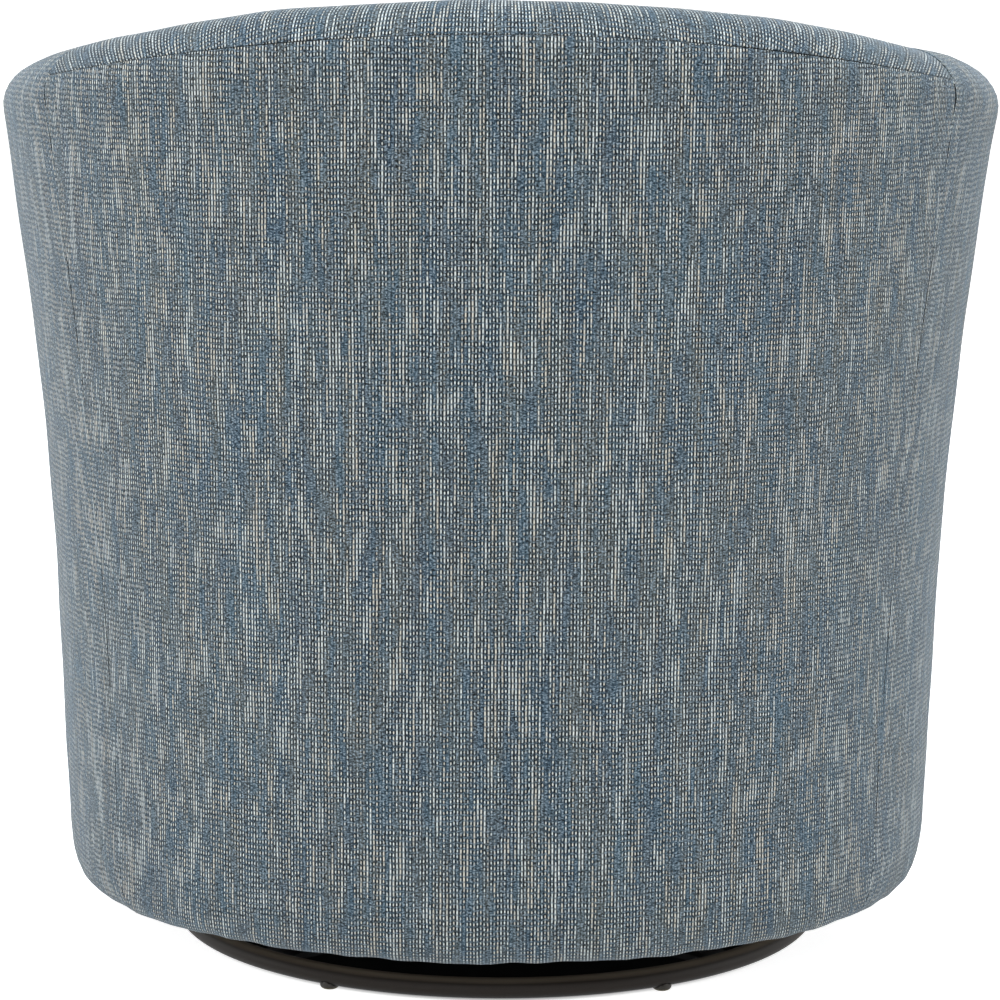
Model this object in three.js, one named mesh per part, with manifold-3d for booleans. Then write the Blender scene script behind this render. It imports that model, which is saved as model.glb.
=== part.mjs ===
// A swivel rocker: an upholstered barrel chair that turns and rocks on a round ring base.
// Lengths are in millimetres. The chair faces -Y, +Z is up, and it swivels about the Z axis.

import Module from 'manifold-3d';
import * as THREE from 'three';
import { mergeVertices } from 'three/addons/utils/BufferGeometryUtils.js';

const wasm = await Module();
wasm.setup();

// The whole chair
const overallWidth = 787;
const overallDepth = 756;
const overallHeight = 762;
const gap = 0.3; // between pieces that touch
const overrun = 2; // how far a cutting tool runs past what it cuts

// Outline of the shell at its foot: a round back that runs into two arms
const shellCentreY = 26; // where the round back meets the arms
const armLength = 364;
const armBend = 1400; // radius on which the arms close in towards the front

// Flare of the shell from the foot to the rim
const sideFlare = 45.7;
const backFlare = 33;
const frontFlare = 30;
const flarePower = 1.84;

// The padded rim
const sideCrest = 704;
const frontCrest = 632;
const backRimPower = 1.53;
const armRimPower = 1.5;
const rollOut = 42.5;
const rollDrop = 36.4;
const rollIn = 45;
const rollInDrop = 70;
const bandDrop = 23; // from the crest down to the seam outside the back

// The hem, where the cover turns under the frame
const hemHeight = 50;
const hemRadius = 23;
const hemRise = 47;
const hemLip = 45;
const lipThickness = 2.7;

// Seams between the back and the arms, as shares of the quarter turn from the back's middle
const seamFootShare = 0.633;
const seamTopShare = 0.68;
const seamHalfGap = 0.45;
const seamBendHeight = 640; // above it the seam runs straight up

// Upholstery
const panelDepth = 12;
const woodGap = 1.5;
const armInset = 70; // of the inside arm at the deck, from the foot outline
const backInset = 145;
const armCrown = 5;
const backCrown = 9;
const armFrontDepth = 22;
const armFrontEdge = 14;
const apronDepth = 14;
const apronCrown = 13;

// Wooden frame
const frameInset = 24;
const frameThickness = 22;
const mechanismHole = 205;
const postDepth = 22;
const postWidth = 50;
const rearPostShare = 0.28; // of the quarter turn from the back's middle
const sidePostShare = 0.8;
const frontPostInset = 32;
const hoopWidth = 40;
const hoopThickness = 20;
const seatHoopWidth = 24;
const seatHoopHeight = 45;
const deckHeight = 327; // top of the deck
const deckThickness = 11.7;
const frontRailThickness = 22;
const bearerWidth = 44;
const bearerLength = 340;
const bearerInset = 91.8; // of its outer face, from the foot outline
const crossBoardWidth = 70;
const crossBoardThickness = 22;
const crossBoardY = 85;

// Dust cover
const dustThickness = 1.5;
const dustHole = 195;
const dustInset = 47;

// Seat cushion
const cushionHeight = 126; // at its boxed side
const cushionCrown = 26;
const cushionClearance = 2;
const cushionEdge = 14;
const cushionDrawIn = 4;
const cushionFrontReach = 40;
const cushionCentreY = -80;

// Flat springs under the deck
const flatSpringWire = 3.6;
const flatSpringSwing = 24;
const flatSpringPitch = 52;
const flatSpringPlaces = [-130, 0, 130];
const flatSpringArch = 4;

// Ring base
const ringRadius = 257;
const ringTubeRadius = 8;
const ringHeight = 11;
const glideRadius = 7.5;
const glideRise = 7;
const glideFlat = 4;
const glideCount = 6;
const spiderThickness = 5;
const spiderHubRadius = 66;
const spiderArmRoot = 24;
const spiderArmTip = 14;
const spiderRib = 5;
const spiderRibStart = 74;
const spiderRibEnd = 232;
const spiderHole = 7;
const spiderHoleRadius = 88;

// Swivel bearing
const kingPinRadius = 7;
const kingPinClearance = 0.5;
const kingHeadAcross = 24;
const kingHeadHeight = 4;
const kingNutHeight = 9;
const kingWasherRadius = 16;
const kingWasherThickness = 2.5;
const racePlate = 4;
const raceRadius = 68;
const raceLip = 3.5;
const raceLipClearance = 1.5;
const raceLipDrop = 9;
const ballRadius = 5;
const ballCircle = 48;
const ballCount = 12;
const ballClearance = 0.7;
const grooveDepth = 2;
const cageWidth = 14;
const cageThickness = 2;

// Rocking mechanism
const pivotHeight = 95;
const plateThickness = 4;
const cradleWidth = 194;
const cradleLength = 250;
const cradleCorner = 12;
const earFoot = 92;
const earTop = 17;
const bushingFlange = 3.4;
const bushingFlangeRadius = 13;
const bushingWall = 3;
const pivotBoltRadius = 6;
const pivotClearance = 0.3;
const pivotHeadAcross = 19;
const pivotHeadHeight = 6;
const pivotNutHeight = 7;
const rockerTop = 130;
const rockerFlange = 14;
const rockerWindowWidth = 112;
const rockerWindowLength = 96;
const cheekFoot = 120;
const cheekEnd = 19;

// Coil springs
const springX = 62;
const springY = 94;
const springRadius = 17.5;
const springWireRadius = 2.5;
const springCurls = 5.5;
const springCollarWall = 2.5;
const springCollarHeight = 6;

// Steps of the round forms
const wallSteps = 7;
const hemSteps = 4;
const rollSteps = 4;
const innerSteps = 5;
const roundSteps = 24;
const smallSteps = 14;
const cornerSteps = 3;
const hexagonSides = 6;
const wireSides = 5;
const curlSteps = 8;
const swingSteps = 6;
const ringSides = 8;
const ringSteps = 54;

// Sizes that follow from the ones above
const halfWidth = overallWidth / 2 - sideFlare;
const backDepth = overallDepth / 2 - shellCentreY - backFlare;
const bearerOuterX = halfWidth - bearerInset;
const wallFoot = hemHeight + hemRise;
const frameBottom = hemHeight + lipThickness + gap;
const frameTop = frameBottom + frameThickness;
const postInset = panelDepth + 2 * woodGap;
const padInset = postInset + postDepth + woodGap;
const hoopTop = bandDrop + woodGap + 2 * gap;
const hoopBottom = hoopTop + hoopThickness;
const hoopInset = postInset + woodGap;
const armEndY = shellCentreY - armLength;
const deckBottom = deckHeight - deckThickness;
const seatHoopTop = deckBottom - gap;
const frontRailY = armEndY + woodGap;

// Stations of the sweeps, as shares of each piece's own run
const backStationShares = [-1, -0.86, -0.71, -0.56, -0.42, -0.28, -0.14, 0, 0.14, 0.28, 0.42, 0.56, 0.71, 0.86, 1];
const armStationShares = [0, 0.07, 0.135, 0.2, 0.27, 0.41, 0.56, 0.71, 0.86, 1];
const crownRingShares = [0.86, 0.66, 0.4, 0.15]; // rings of the cushion's crown, from its middle out

const axisX = new THREE.Vector3(1, 0, 0);
const axisY = new THREE.Vector3(0, 1, 0);
const axisZ = new THREE.Vector3(0, 0, 1);
const quarter = Math.PI / 2;

// Solids

function mix(a, b, share) {
  return a + (b - a) * share;
}

function solidOf(geometry) {
  const bare = geometry.clone();
  bare.deleteAttribute('normal');
  bare.deleteAttribute('uv');
  const merged = mergeVertices(bare);
  const mesh = new wasm.Mesh({
    numProp: 3,
    vertProperties: merged.attributes.position.array,
    triVerts: Uint32Array.from(merged.index.array),
  });
  return new wasm.Manifold(mesh);
}

function geometryOf(solid) {
  const mesh = solid.getMesh();
  const geometry = new THREE.BufferGeometry();
  geometry.setAttribute('position', new THREE.BufferAttribute(mesh.vertProperties.slice(), mesh.numProp));
  geometry.setIndex(Array.from(mesh.triVerts));
  geometry.computeVertexNormals();
  return geometry;
}

function join(...geometries) {
  return geometryOf(geometries.map(solidOf).reduce((whole, piece) => whole.add(piece)));
}

function cut(geometry, ...tools) {
  return geometryOf(tools.map(solidOf).reduce((whole, tool) => whole.subtract(tool), solidOf(geometry)));
}

function area(points) {
  return THREE.ShapeUtils.area(points);
}

// Triangles of a flat end, wound as its outline is
function capFaces(outline) {
  const turn = Math.sign(area(outline));
  return THREE.ShapeUtils.triangulateShape(outline.map((p) => p.clone()), []).map(([a, b, c]) => {
    const same = Math.sign(area([outline[a], outline[b], outline[c]])) === turn;
    return same ? [a, b, c] : [a, c, b];
  });
}

function signedVolume(points, index) {
  let sum = 0;
  for (let i = 0; i < index.length; i += 3) {
    sum += points[index[i]].dot(points[index[i + 1]].clone().cross(points[index[i + 2]]));
  }
  return sum;
}

// A closed solid through rings of points; firstEnd and lastEnd are the flat outlines of its two ends
function loft(rings, firstEnd, lastEnd = firstEnd) {
  const count = rings[0].length;
  const points = rings.flat();
  const index = [];
  for (let i = 0; i + 1 < rings.length; i++) {
    for (let j = 0; j < count; j++) {
      const here = i * count + j;
      const next = i * count + (j + 1) % count;
      index.push(here, next, next + count, here, next + count, here + count);
    }
  }
  const last = (rings.length - 1) * count;
  capFaces(firstEnd).forEach(([a, b, c]) => index.push(a, c, b));
  capFaces(lastEnd).forEach(([a, b, c]) => index.push(last + a, last + b, last + c));
  if (signedVolume(points, index) < 0) {
    index.reverse();
  }
  const geometry = new THREE.BufferGeometry().setFromPoints(points);
  geometry.setIndex(index);
  geometry.computeVertexNormals();
  return geometry;
}

function arc(centreX, centreY, radiusX, radiusY, from, to, steps) {
  return Array.from({ length: steps + 1 }, (_, i) => {
    const angle = mix(from, to, i / steps);
    return [centreX + radiusX * Math.cos(angle), centreY + radiusY * Math.sin(angle)];
  });
}

function toVectors(line) {
  return line.map(([x, y]) => new THREE.Vector2(x, y));
}

// A plate of the given outline, lying flat with its underside at the given height
function plate(shape, bottom, thickness) {
  const geometry = new THREE.ExtrudeGeometry(shape, { depth: thickness, bevelEnabled: false });
  return geometry.translate(0, 0, bottom);
}

// A plate that stands across X, its outline drawn in Y and Z
function uprightPlate(shape, fromX, thickness) {
  const geometry = new THREE.ExtrudeGeometry(shape, { depth: thickness, bevelEnabled: false });
  geometry.applyMatrix4(new THREE.Matrix4().makeBasis(axisY, axisZ, axisX));
  return geometry.translate(fromX, 0, 0);
}

function board(centreX, centreY, bottom, width, length, thickness) {
  return new THREE.BoxGeometry(width, length, thickness).translate(centreX, centreY, bottom + thickness / 2);
}

function turned(profile, steps = roundSteps) {
  return new THREE.LatheGeometry(toVectors(profile), steps).rotateX(quarter);
}

function rod(radius, length, sides = smallSteps) {
  return new THREE.CylinderGeometry(radius, radius, length, sides).rotateX(quarter);
}

function roundedRectangle(width, length, corner) {
  const x = width / 2 - corner;
  const y = length / 2 - corner;
  const turns = [[x, -y, -1], [x, y, 0], [-x, y, 1], [-x, -y, 2]];
  return turns.flatMap(([cx, cy, turn]) => arc(cx, cy, corner, corner, turn * quarter, (turn + 1) * quarter, cornerSteps));
}

function circle(radius, steps, centreX = 0, centreY = 0) {
  return arc(centreX, centreY, radius, radius, 0, 4 * quarter, steps).slice(0, steps);
}

// A flat shape from a line of points, with holes cut in it
function shapeOf(line, ...holes) {
  const shape = new THREE.Shape(toVectors(line));
  holes.forEach((hole) => shape.holes.push(new THREE.Path(toVectors(hole))));
  return shape;
}

// One unbroken wire along a line of points
function wire(points, radius, sides) {
  const tangents = points.map((point, i) => {
    const ahead = points[Math.min(i + 1, points.length - 1)];
    const behind = points[Math.max(i - 1, 0)];
    return ahead.clone().sub(behind).normalize();
  });
  let side = tangents[0].clone().cross(axisZ).normalize();
  const ends = arc(0, 0, radius, radius, 0, 4 * quarter, sides).slice(0, sides);
  const rings = points.map((point, i) => {
    side = side.clone().addScaledVector(tangents[i], -side.dot(tangents[i])).normalize();
    const up = tangents[i].clone().cross(side);
    return ends.map(([a, b]) => point.clone().addScaledVector(side, a).addScaledVector(up, b));
  });
  return loft(rings, toVectors(ends));
}

// Smallest distance between a wire's surfaces, leaving out the neighbours along its own bend
function leastGap(points, radius, skip) {
  let least = Infinity;
  for (let i = 0; i < points.length; i++) {
    for (let j = i + skip; j < points.length; j++) {
      least = Math.min(least, points[i].distanceTo(points[j]) - 2 * radius);
    }
  }
  return least;
}

// The shell's wall. A place along it is t: -1 to 1 round the back, and on to -2 and 2 at the arms' ends.
// Its rate is the length of wall for each unit of t.

function pathAt(t) {
  const side = Math.sign(t);
  const reach = Math.abs(t);
  if (reach <= 1) {
    const normalX = backDepth * Math.sin(t * quarter);
    const normalY = halfWidth * Math.cos(t * quarter);
    const length = Math.hypot(normalX, normalY);
    return {
      x: halfWidth * Math.sin(t * quarter),
      y: shellCentreY + backDepth * Math.cos(t * quarter),
      nx: normalX / length,
      ny: normalY / length,
      rate: quarter * length,
    };
  }
  const run = (reach - 1) * armLength;
  const closing = armBend - Math.sqrt(armBend ** 2 - run ** 2);
  return { x: side * (halfWidth - closing), y: shellCentreY - run, nx: side, ny: 0, rate: armLength };
}

function place(t, offset, z) {
  const path = pathAt(t);
  return new THREE.Vector3(path.x + path.nx * offset, path.y + path.ny * offset, z);
}

function backShare(t) {
  return Math.abs(t) < 1 ? Math.cos(t * quarter) ** 2 : 0;
}

function frontShare(t) {
  return Math.max(Math.abs(t) - 1, 0);
}

function crestAt(t) {
  if (Math.abs(t) < 1) {
    return mix(sideCrest, overallHeight, Math.cos(t * quarter) ** backRimPower);
  }
  return mix(sideCrest, frontCrest, frontShare(t) ** armRimPower);
}

function flareAt(t) {
  return mix(mix(sideFlare, backFlare, backShare(t)), frontFlare, frontShare(t) ** 2);
}

function insetAt(t) {
  return mix(armInset, backInset, backShare(t));
}

function wallOffset(t, z) {
  const top = crestAt(t) - rollDrop;
  const share = Math.min(Math.max((z - wallFoot) / (top - wallFoot), 0), 1);
  return flareAt(t) * share ** flarePower;
}

// The outside seam between back and arm leans out a little towards the rim
function seamAt(z) {
  return mix(seamFootShare, seamTopShare, Math.min((z - hemHeight) / (seamBendHeight - hemHeight), 1));
}

const seamGapShare = seamHalfGap / (quarter * halfWidth);

function hemLine() {
  const turn = arc(-hemRadius, wallFoot, hemRadius, hemRise, -quarter, 0, hemSteps);
  return [[-hemLip, hemHeight], ...turn];
}

function wallLine(t) {
  return Array.from({ length: wallSteps }, (_, i) => {
    const z = mix(wallFoot, crestAt(t) - rollDrop, (i + 1) / wallSteps);
    return [wallOffset(t, z), z];
  });
}

function rollLine(t, from) {
  const centre = flareAt(t) - rollOut;
  const outer = arc(centre, crestAt(t) - rollDrop, rollOut, rollDrop, from, quarter, rollSteps);
  const inner = arc(centre, crestAt(t) - rollInDrop, rollIn, rollInDrop, quarter, 2 * quarter, rollSteps);
  return [...outer, ...inner.slice(1)];
}

function innerOffset(t, z) {
  const top = crestAt(t) - rollInDrop;
  const share = (z - deckHeight) / (top - deckHeight);
  const crown = mix(armCrown, backCrown, backShare(t));
  return mix(-insetAt(t), flareAt(t) - rollOut - rollIn, share) - 4 * crown * share * (1 - share);
}

function innerLine(t, top) {
  return Array.from({ length: innerSteps + 1 }, (_, i) => {
    const z = mix(top, deckHeight + gap, i / innerSteps);
    return [innerOffset(t, z), z];
  });
}

// The hidden side of an outside panel, from its top down to the lip under the frame
function panelBack(t, top) {
  const line = wallLine(t).filter(([, z]) => z < top - gap);
  const wall = line.reverse().map(([offset, z]) => [offset - panelDepth, z]);
  return [
    ...wall,
    [-panelDepth, frameTop],
    [woodGap - frameInset, frameTop],
    [woodGap - frameInset, hemHeight + lipThickness],
    [-hemLip, hemHeight + lipThickness],
  ];
}

// Sweeps a section along the wall; placeOf gives the place t of each point from the station and height
function sweep(stations, sectionOf, placeOf) {
  const sections = stations.map(sectionOf);
  const rings = sections.map((section, i) => section.map(([o, z]) => place(placeOf(stations[i], z), o, z)));
  return loft(rings, toVectors(sections[0]), toVectors(sections[sections.length - 1]));
}

function seatedBetweenSeams(share, z) {
  return share * (seamAt(z) - seamGapShare);
}

// Upholstery of the back

function outsideBackSection(share) {
  const t = share * seamTopShare;
  const crest = crestAt(t);
  const seamAngle = Math.asin((rollDrop - bandDrop) / rollDrop);
  const roll = arc(flareAt(t) - rollOut, crest - rollDrop, rollOut, rollDrop, 0, seamAngle, 2);
  const top = roll[roll.length - 1];
  return [...hemLine(), ...wallLine(t), ...roll.slice(1), [top[0] - panelDepth, top[1]], ...panelBack(t, top[1])];
}

function outsideBack() {
  return sweep(backStationShares, outsideBackSection, seatedBetweenSeams);
}

function insideBackSection(share) {
  const t = share * seamTopShare;
  const crest = crestAt(t);
  const flare = flareAt(t);
  const start = Math.asin((rollDrop - bandDrop + gap) / rollDrop);
  const inside = hoopInset + hoopWidth + woodGap;
  const foot = deckHeight + gap;
  const backFace = Array.from({ length: innerSteps + 1 }, (_, i) => {
    const z = mix(foot, crest - hoopBottom - gap, i / innerSteps);
    return [wallOffset(t, z) - padInset, z];
  });
  return [
    ...rollLine(t, start),
    ...innerLine(t, crest - rollInDrop).slice(1),
    ...backFace,
    [flare - inside, crest - hoopBottom - gap],
    [flare - inside, crest - bandDrop + gap],
  ];
}

function insideBack() {
  return sweep(backStationShares, insideBackSection, (share) => share * (seamTopShare - seamGapShare));
}

// Upholstery of the arms; side is 1 for the one at +X and -1 for the other

function armPlace(side) {
  return (share, z) => side * mix(seamAt(z) + seamGapShare, 2, share);
}

function armNominal(share) {
  return mix(seamTopShare, 2, share);
}

function outsideArmSection(share) {
  const t = armNominal(share);
  const crest = crestAt(t);
  const flare = flareAt(t);
  const inside = hoopInset + hoopWidth + woodGap;
  return [
    ...hemLine(),
    ...wallLine(t),
    ...rollLine(t, 0).slice(1),
    [flare - inside, crest - rollInDrop],
    [flare - inside, crest - bandDrop + gap],
    [flare - hoopInset + gap, crest - bandDrop + gap],
    ...panelBack(t, crest),
  ];
}

function outsideArm(side) {
  return sweep(armStationShares, outsideArmSection, armPlace(side));
}

function insideArmSection(share) {
  const t = armNominal(share);
  const top = crestAt(t) - rollInDrop - gap;
  const face = innerLine(t, top);
  const hidden = face.map(([, z]) => [wallOffset(t, z) - padInset, z]);
  return [...face, ...hidden.reverse()];
}

function insideArm(side) {
  return sweep(armStationShares, insideArmSection, (share) => side * mix(seamTopShare + seamGapShare, 2, share));
}

// The arm's end: the wall's whole outline, pressed forward and rounded over at its edge
function armFrontOutline() {
  const t = 2;
  const inside = innerLine(t, crestAt(t) - rollInDrop);
  return [...hemLine().slice(1), ...wallLine(t), ...rollLine(t, 0).slice(1), ...inside.slice(1), [-armInset, hemHeight]];
}

function insetLine(line, distance) {
  const count = line.length;
  const turn = Math.sign(area(toVectors(line)));
  return line.map((point, i) => {
    const before = line[(i + count - 1) % count];
    const after = line[(i + 1) % count];
    const direction = new THREE.Vector2(after[0] - before[0], after[1] - before[1]).normalize();
    return [point[0] - turn * direction.y * distance, point[1] + turn * direction.x * distance];
  });
}

function armFront(side) {
  const outline = armFrontOutline();
  const steps = arc(0, 0, armFrontEdge, armFrontEdge, 0, quarter, cornerSteps);
  const end = pathAt(2);
  const ringAt = (inset, y) => insetLine(outline, inset).map(([o, z]) => new THREE.Vector3(side * (end.x + o), y, z));
  const rings = [ringAt(0, armEndY - gap)];
  for (const [out, forward] of steps) {
    rings.push(ringAt(armFrontEdge - out, armEndY - armFrontDepth + armFrontEdge - forward));
  }
  return loft(rings, toVectors(outline));
}

// The panel below the cushion, bowed forward between the arms' ends
function frontApron() {
  const halfSpan = pathAt(2).x - armInset - gap;
  const back = armEndY - gap;
  const hem = arc(hemRadius, hemHeight + hemRadius, hemRadius, hemRadius, -quarter, -2 * quarter, hemSteps);
  const corner = apronDepth / 2;
  const top = arc(corner, deckHeight - corner, corner, corner, 2 * quarter, quarter, cornerSteps);
  const stations = backStationShares.filter((_, i) => i % 2 === 0);
  const sections = stations.map((share) => {
    const face = back - apronDepth - apronCrown * (1 - share ** 2);
    const line = [...hem, ...top].map(([y, z]) => [face + y, z]);
    return [...line, [back, deckHeight], [back, hemHeight + lipThickness], [back + hemRadius, hemHeight + lipThickness],
      [back + hemRadius, hemHeight]];
  });
  const rings = sections.map((line, i) => line.map(([y, z]) => new THREE.Vector3(stations[i] * halfSpan, y, z)));
  return loft(rings, toVectors(sections[0]), toVectors(sections[sections.length - 1]));
}

// Wooden frame

// Places round the foot, the same as those of the panels that wrap it
function footStations() {
  const back = backStationShares.map((share) => share * seamFootShare);
  const arm = armStationShares.slice(1).map((share) => mix(seamFootShare, 2, share));
  return [...arm.map((t) => -t).reverse(), ...back, ...arm];
}

function wallOutline(inset, frontY) {
  const points = footStations().map((t) => place(t, -inset, 0));
  points[0].y = frontY;
  points[points.length - 1].y = frontY;
  return points.map((p) => [p.x, p.y]);
}

function baseFrame() {
  const hole = roundedRectangle(mechanismHole * 2, mechanismHole * 2, mechanismHole * 0.6);
  const shape = shapeOf(wallOutline(frameInset, frontRailY - woodGap + gap), hole);
  return plate(shape, frameBottom, frameThickness);
}

function dustCover() {
  const shape = shapeOf(wallOutline(dustInset, armEndY + hemRadius + gap), circle(dustHole, roundSteps));
  return plate(shape, frameBottom - gap - dustThickness, dustThickness);
}

function post(t) {
  const half = postWidth / 2 / pathAt(t).rate;
  const levels = 6;
  const rings = Array.from({ length: levels + 1 }, (_, i) => {
    const corners = [[t - half, 0], [t + half, 0], [t + half, postDepth], [t - half, postDepth]];
    return corners.map(([at, depth]) => {
      const z = mix(frameTop + gap, crestAt(at) - hoopBottom - gap, i / levels);
      return place(at, wallOffset(t, z) - postInset - depth, z);
    });
  });
  const end = [[-half, 0], [half, 0], [half, 1], [-half, 1]];
  return loft(rings, toVectors(end));
}

// The hoops end a little short of the arms' ends
function hoopStations() {
  const reach = 2 - frontPostInset / armLength / 4;
  return footStations().map((t) => t / 2 * reach);
}

function topHoop() {
  return sweep(hoopStations(), (t) => {
    const outer = flareAt(t) - hoopInset;
    const top = crestAt(t) - hoopTop;
    return [[outer, top - hoopThickness], [outer, top], [outer - hoopWidth, top], [outer - hoopWidth, top - hoopThickness]];
  }, (t) => t);
}

// The seat hoop stands straight, just inside the posts at its lower edge
function seatHoopOuter(t) {
  return wallOffset(t, seatHoopTop - seatHoopHeight) - padInset - gap;
}

function seatHoop() {
  const bottom = seatHoopTop - seatHoopHeight;
  return sweep(hoopStations(), (t) => {
    const outer = seatHoopOuter(t);
    return [[outer, bottom], [outer, seatHoopTop], [outer - seatHoopWidth, seatHoopTop], [outer - seatHoopWidth, bottom]];
  }, (t) => t);
}

function deck() {
  return plate(shapeOf(wallOutline(padInset, frontRailY)), deckBottom, deckThickness);
}

function frontRail() {
  const height = seatHoopTop - frameTop - gap;
  const halfSpan = place(2, seatHoopOuter(2) - seatHoopWidth - woodGap, 0).x;
  const centreY = frontRailY + frontRailThickness / 2;
  return board(0, centreY, frameTop + gap, halfSpan * 2, frontRailThickness, height);
}

// The Y of the seat hoop's inner face behind a place x
function seatHoopRearAt(x) {
  const face = hoopStations().map((t) => place(t, seatHoopOuter(t) - seatHoopWidth, 0));
  const i = face.findIndex((point, at) => at > 0 && point.x > x && face[at - 1].x <= x);
  return mix(face[i - 1].y, face[i].y, (x - face[i - 1].x) / (face[i].x - face[i - 1].x));
}

// A zigzag wire from the front rail to the back of the seat hoop, with a straight leg at each end
function flatSpring(x) {
  const radius = flatSpringWire / 2;
  const rear = seatHoopRearAt(Math.abs(x) + radius) - gap;
  const front = frontRailY + frontRailThickness + gap;
  const leg = flatSpringWire;
  const swings = Math.round((rear - front) / flatSpringPitch);
  const steps = swings * swingSteps;
  const top = deckBottom - gap - radius;
  const zigzag = Array.from({ length: steps + 1 }, (_, i) => {
    const share = i / steps;
    const z = top - flatSpringArch * (1 - Math.sin(share * Math.PI));
    const swing = flatSpringSwing * Math.sin(share * swings * 4 * quarter);
    return new THREE.Vector3(x + swing, mix(front + leg, rear - leg, share), z);
  });
  const low = top - flatSpringArch;
  const points = [new THREE.Vector3(x, front, low), ...zigzag, new THREE.Vector3(x, rear, low)];
  console.log(`flat spring at ${x}: least gap to itself`, leastGap(points, radius, 4).toFixed(1), 'mm');
  return wire(points, radius, 4);
}

// Seat cushion: a boxed pad with a crowned top and sides drawn in between its edges

function cushionOutline(z) {
  const sides = footStations().map((t) => place(t, innerOffset(t, z) - cushionClearance, 0));
  const corner = sides[sides.length - 1];
  const front = arc(0, 0, 1, 1, 0, -2 * quarter, 12).slice(1, -1).map(([x, y]) => {
    const across = Math.sign(x) * Math.abs(x) ** (2 / 3);
    const forward = Math.abs(y) ** (2 / 3);
    return new THREE.Vector3(corner.x * across, corner.y - cushionFrontReach * forward, 0);
  });
  return [...sides, ...front];
}

function seatCushion() {
  const bottom = deckHeight + gap;
  const shoulder = cushionHeight + cushionEdge * 0.2;
  const levels = [
    [cushionEdge, 0],
    [cushionEdge * 0.3, cushionEdge * 0.3],
    [0, cushionEdge],
    [cushionDrawIn, cushionHeight / 2],
    [0, cushionHeight - cushionEdge],
    [cushionEdge * 0.3, cushionHeight - cushionEdge * 0.3],
    [cushionEdge, shoulder],
  ];
  const rings = levels.map(([distance, rise]) => {
    const outline = cushionOutline(bottom + rise).map((p) => [p.x, p.y]);
    return insetLine(outline, distance).map(([x, y]) => new THREE.Vector3(x, y, bottom + rise));
  });
  const rim = rings[rings.length - 1];
  for (const share of crownRingShares) {
    const rise = shoulder + (cushionCrown + cushionHeight - shoulder) * (1 - share ** 2) ** 0.8;
    rings.push(rim.map((p) => new THREE.Vector3(p.x * share, mix(cushionCentreY, p.y, share), bottom + rise)));
  }
  const flat = (ring) => ring.map((p) => new THREE.Vector2(p.x, p.y));
  return loft(rings, flat(rings[0]), flat(rings[rings.length - 1]));
}

// Ring base

function ring(tubeRadius) {
  return new THREE.TorusGeometry(ringRadius, tubeRadius, ringSides, ringSteps).translate(0, 0, ringHeight);
}

function glide(number) {
  const angle = quarter + (number - 0.5) * 4 * quarter / glideCount;
  const dome = turned([
    [0, 0],
    [glideFlat, 0],
    [glideRadius * 0.85, glideRise * 0.15],
    [glideRadius, glideRise * 0.5],
    [glideRadius * 0.9, glideRise],
    [0, glideRise],
  ], smallSteps);
  dome.translate(ringRadius * Math.cos(angle), ringRadius * Math.sin(angle), 0);
  return cut(dome, ring(ringTubeRadius + gap));
}

const spiderBottom = ringHeight - spiderThickness / 2;
const spiderTop = spiderBottom + spiderThickness;

function spiderArm(turn) {
  const tip = ringRadius;
  const outline = [
    [0, -spiderArmRoot],
    [spiderHubRadius, -spiderArmRoot],
    [tip, -spiderArmTip],
    [tip, spiderArmTip],
    [spiderHubRadius, spiderArmRoot],
    [0, spiderArmRoot],
  ];
  const shape = shapeOf(outline, circle(spiderHole, 8, spiderHoleRadius));
  const ribLength = spiderRibEnd - spiderRibStart - spiderHoleRadius / 4;
  const rib = rod(spiderRib, ribLength, 8).rotateY(quarter);
  rib.translate(spiderRibEnd - ribLength / 2, 0, spiderTop);
  return join(plate(shape, spiderBottom, spiderThickness), rib).rotateZ(turn);
}

function baseSpider() {
  const hub = rod(spiderHubRadius, spiderThickness, roundSteps).translate(0, 0, ringHeight);
  const arms = [1, 3, 5, 7].map((eighth) => spiderArm(eighth * quarter / 2));
  const hole = rod(kingPinRadius + kingPinClearance, spiderThickness + overrun).translate(0, 0, ringHeight);
  return cut(join(hub, ...arms), ring(ringTubeRadius + gap), hole);
}

// Swivel bearing, stacked up from the spider's hub

const lowerRaceBottom = spiderTop + gap;
const lowerRaceTop = lowerRaceBottom + racePlate;
const grooveRadius = ballRadius + ballClearance;
const ballHeight = lowerRaceTop - grooveDepth + grooveRadius;
const upperRaceBottom = ballHeight + grooveRadius - grooveDepth;
const upperRaceTop = upperRaceBottom + racePlate;
const cradleBottom = upperRaceTop + gap;
const cradleTop = cradleBottom + plateThickness;
const pinHole = kingPinRadius + kingPinClearance;

function groove(centreZ, from, to) {
  return arc(ballCircle, centreZ, grooveRadius, grooveRadius, from, to, 4);
}

function lowerRace() {
  const edge = Math.asin((ballHeight - lowerRaceTop) / grooveRadius);
  return turned([
    [pinHole, lowerRaceBottom],
    [raceRadius, lowerRaceBottom],
    [raceRadius, lowerRaceTop],
    ...groove(ballHeight, -edge, edge - 2 * quarter),
    [pinHole, lowerRaceTop],
    [pinHole, lowerRaceBottom],
  ]);
}

function upperRace() {
  const edge = Math.asin((upperRaceBottom - ballHeight) / grooveRadius);
  const lipInner = raceRadius + raceLipClearance;
  return turned([
    [pinHole, upperRaceTop],
    [pinHole, upperRaceBottom],
    ...groove(ballHeight, 2 * quarter - edge, edge),
    [lipInner, upperRaceBottom],
    [lipInner, upperRaceTop - raceLipDrop],
    [lipInner + raceLip, upperRaceTop - raceLipDrop],
    [lipInner + raceLip, upperRaceTop],
    [pinHole, upperRaceTop],
  ]);
}

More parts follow.
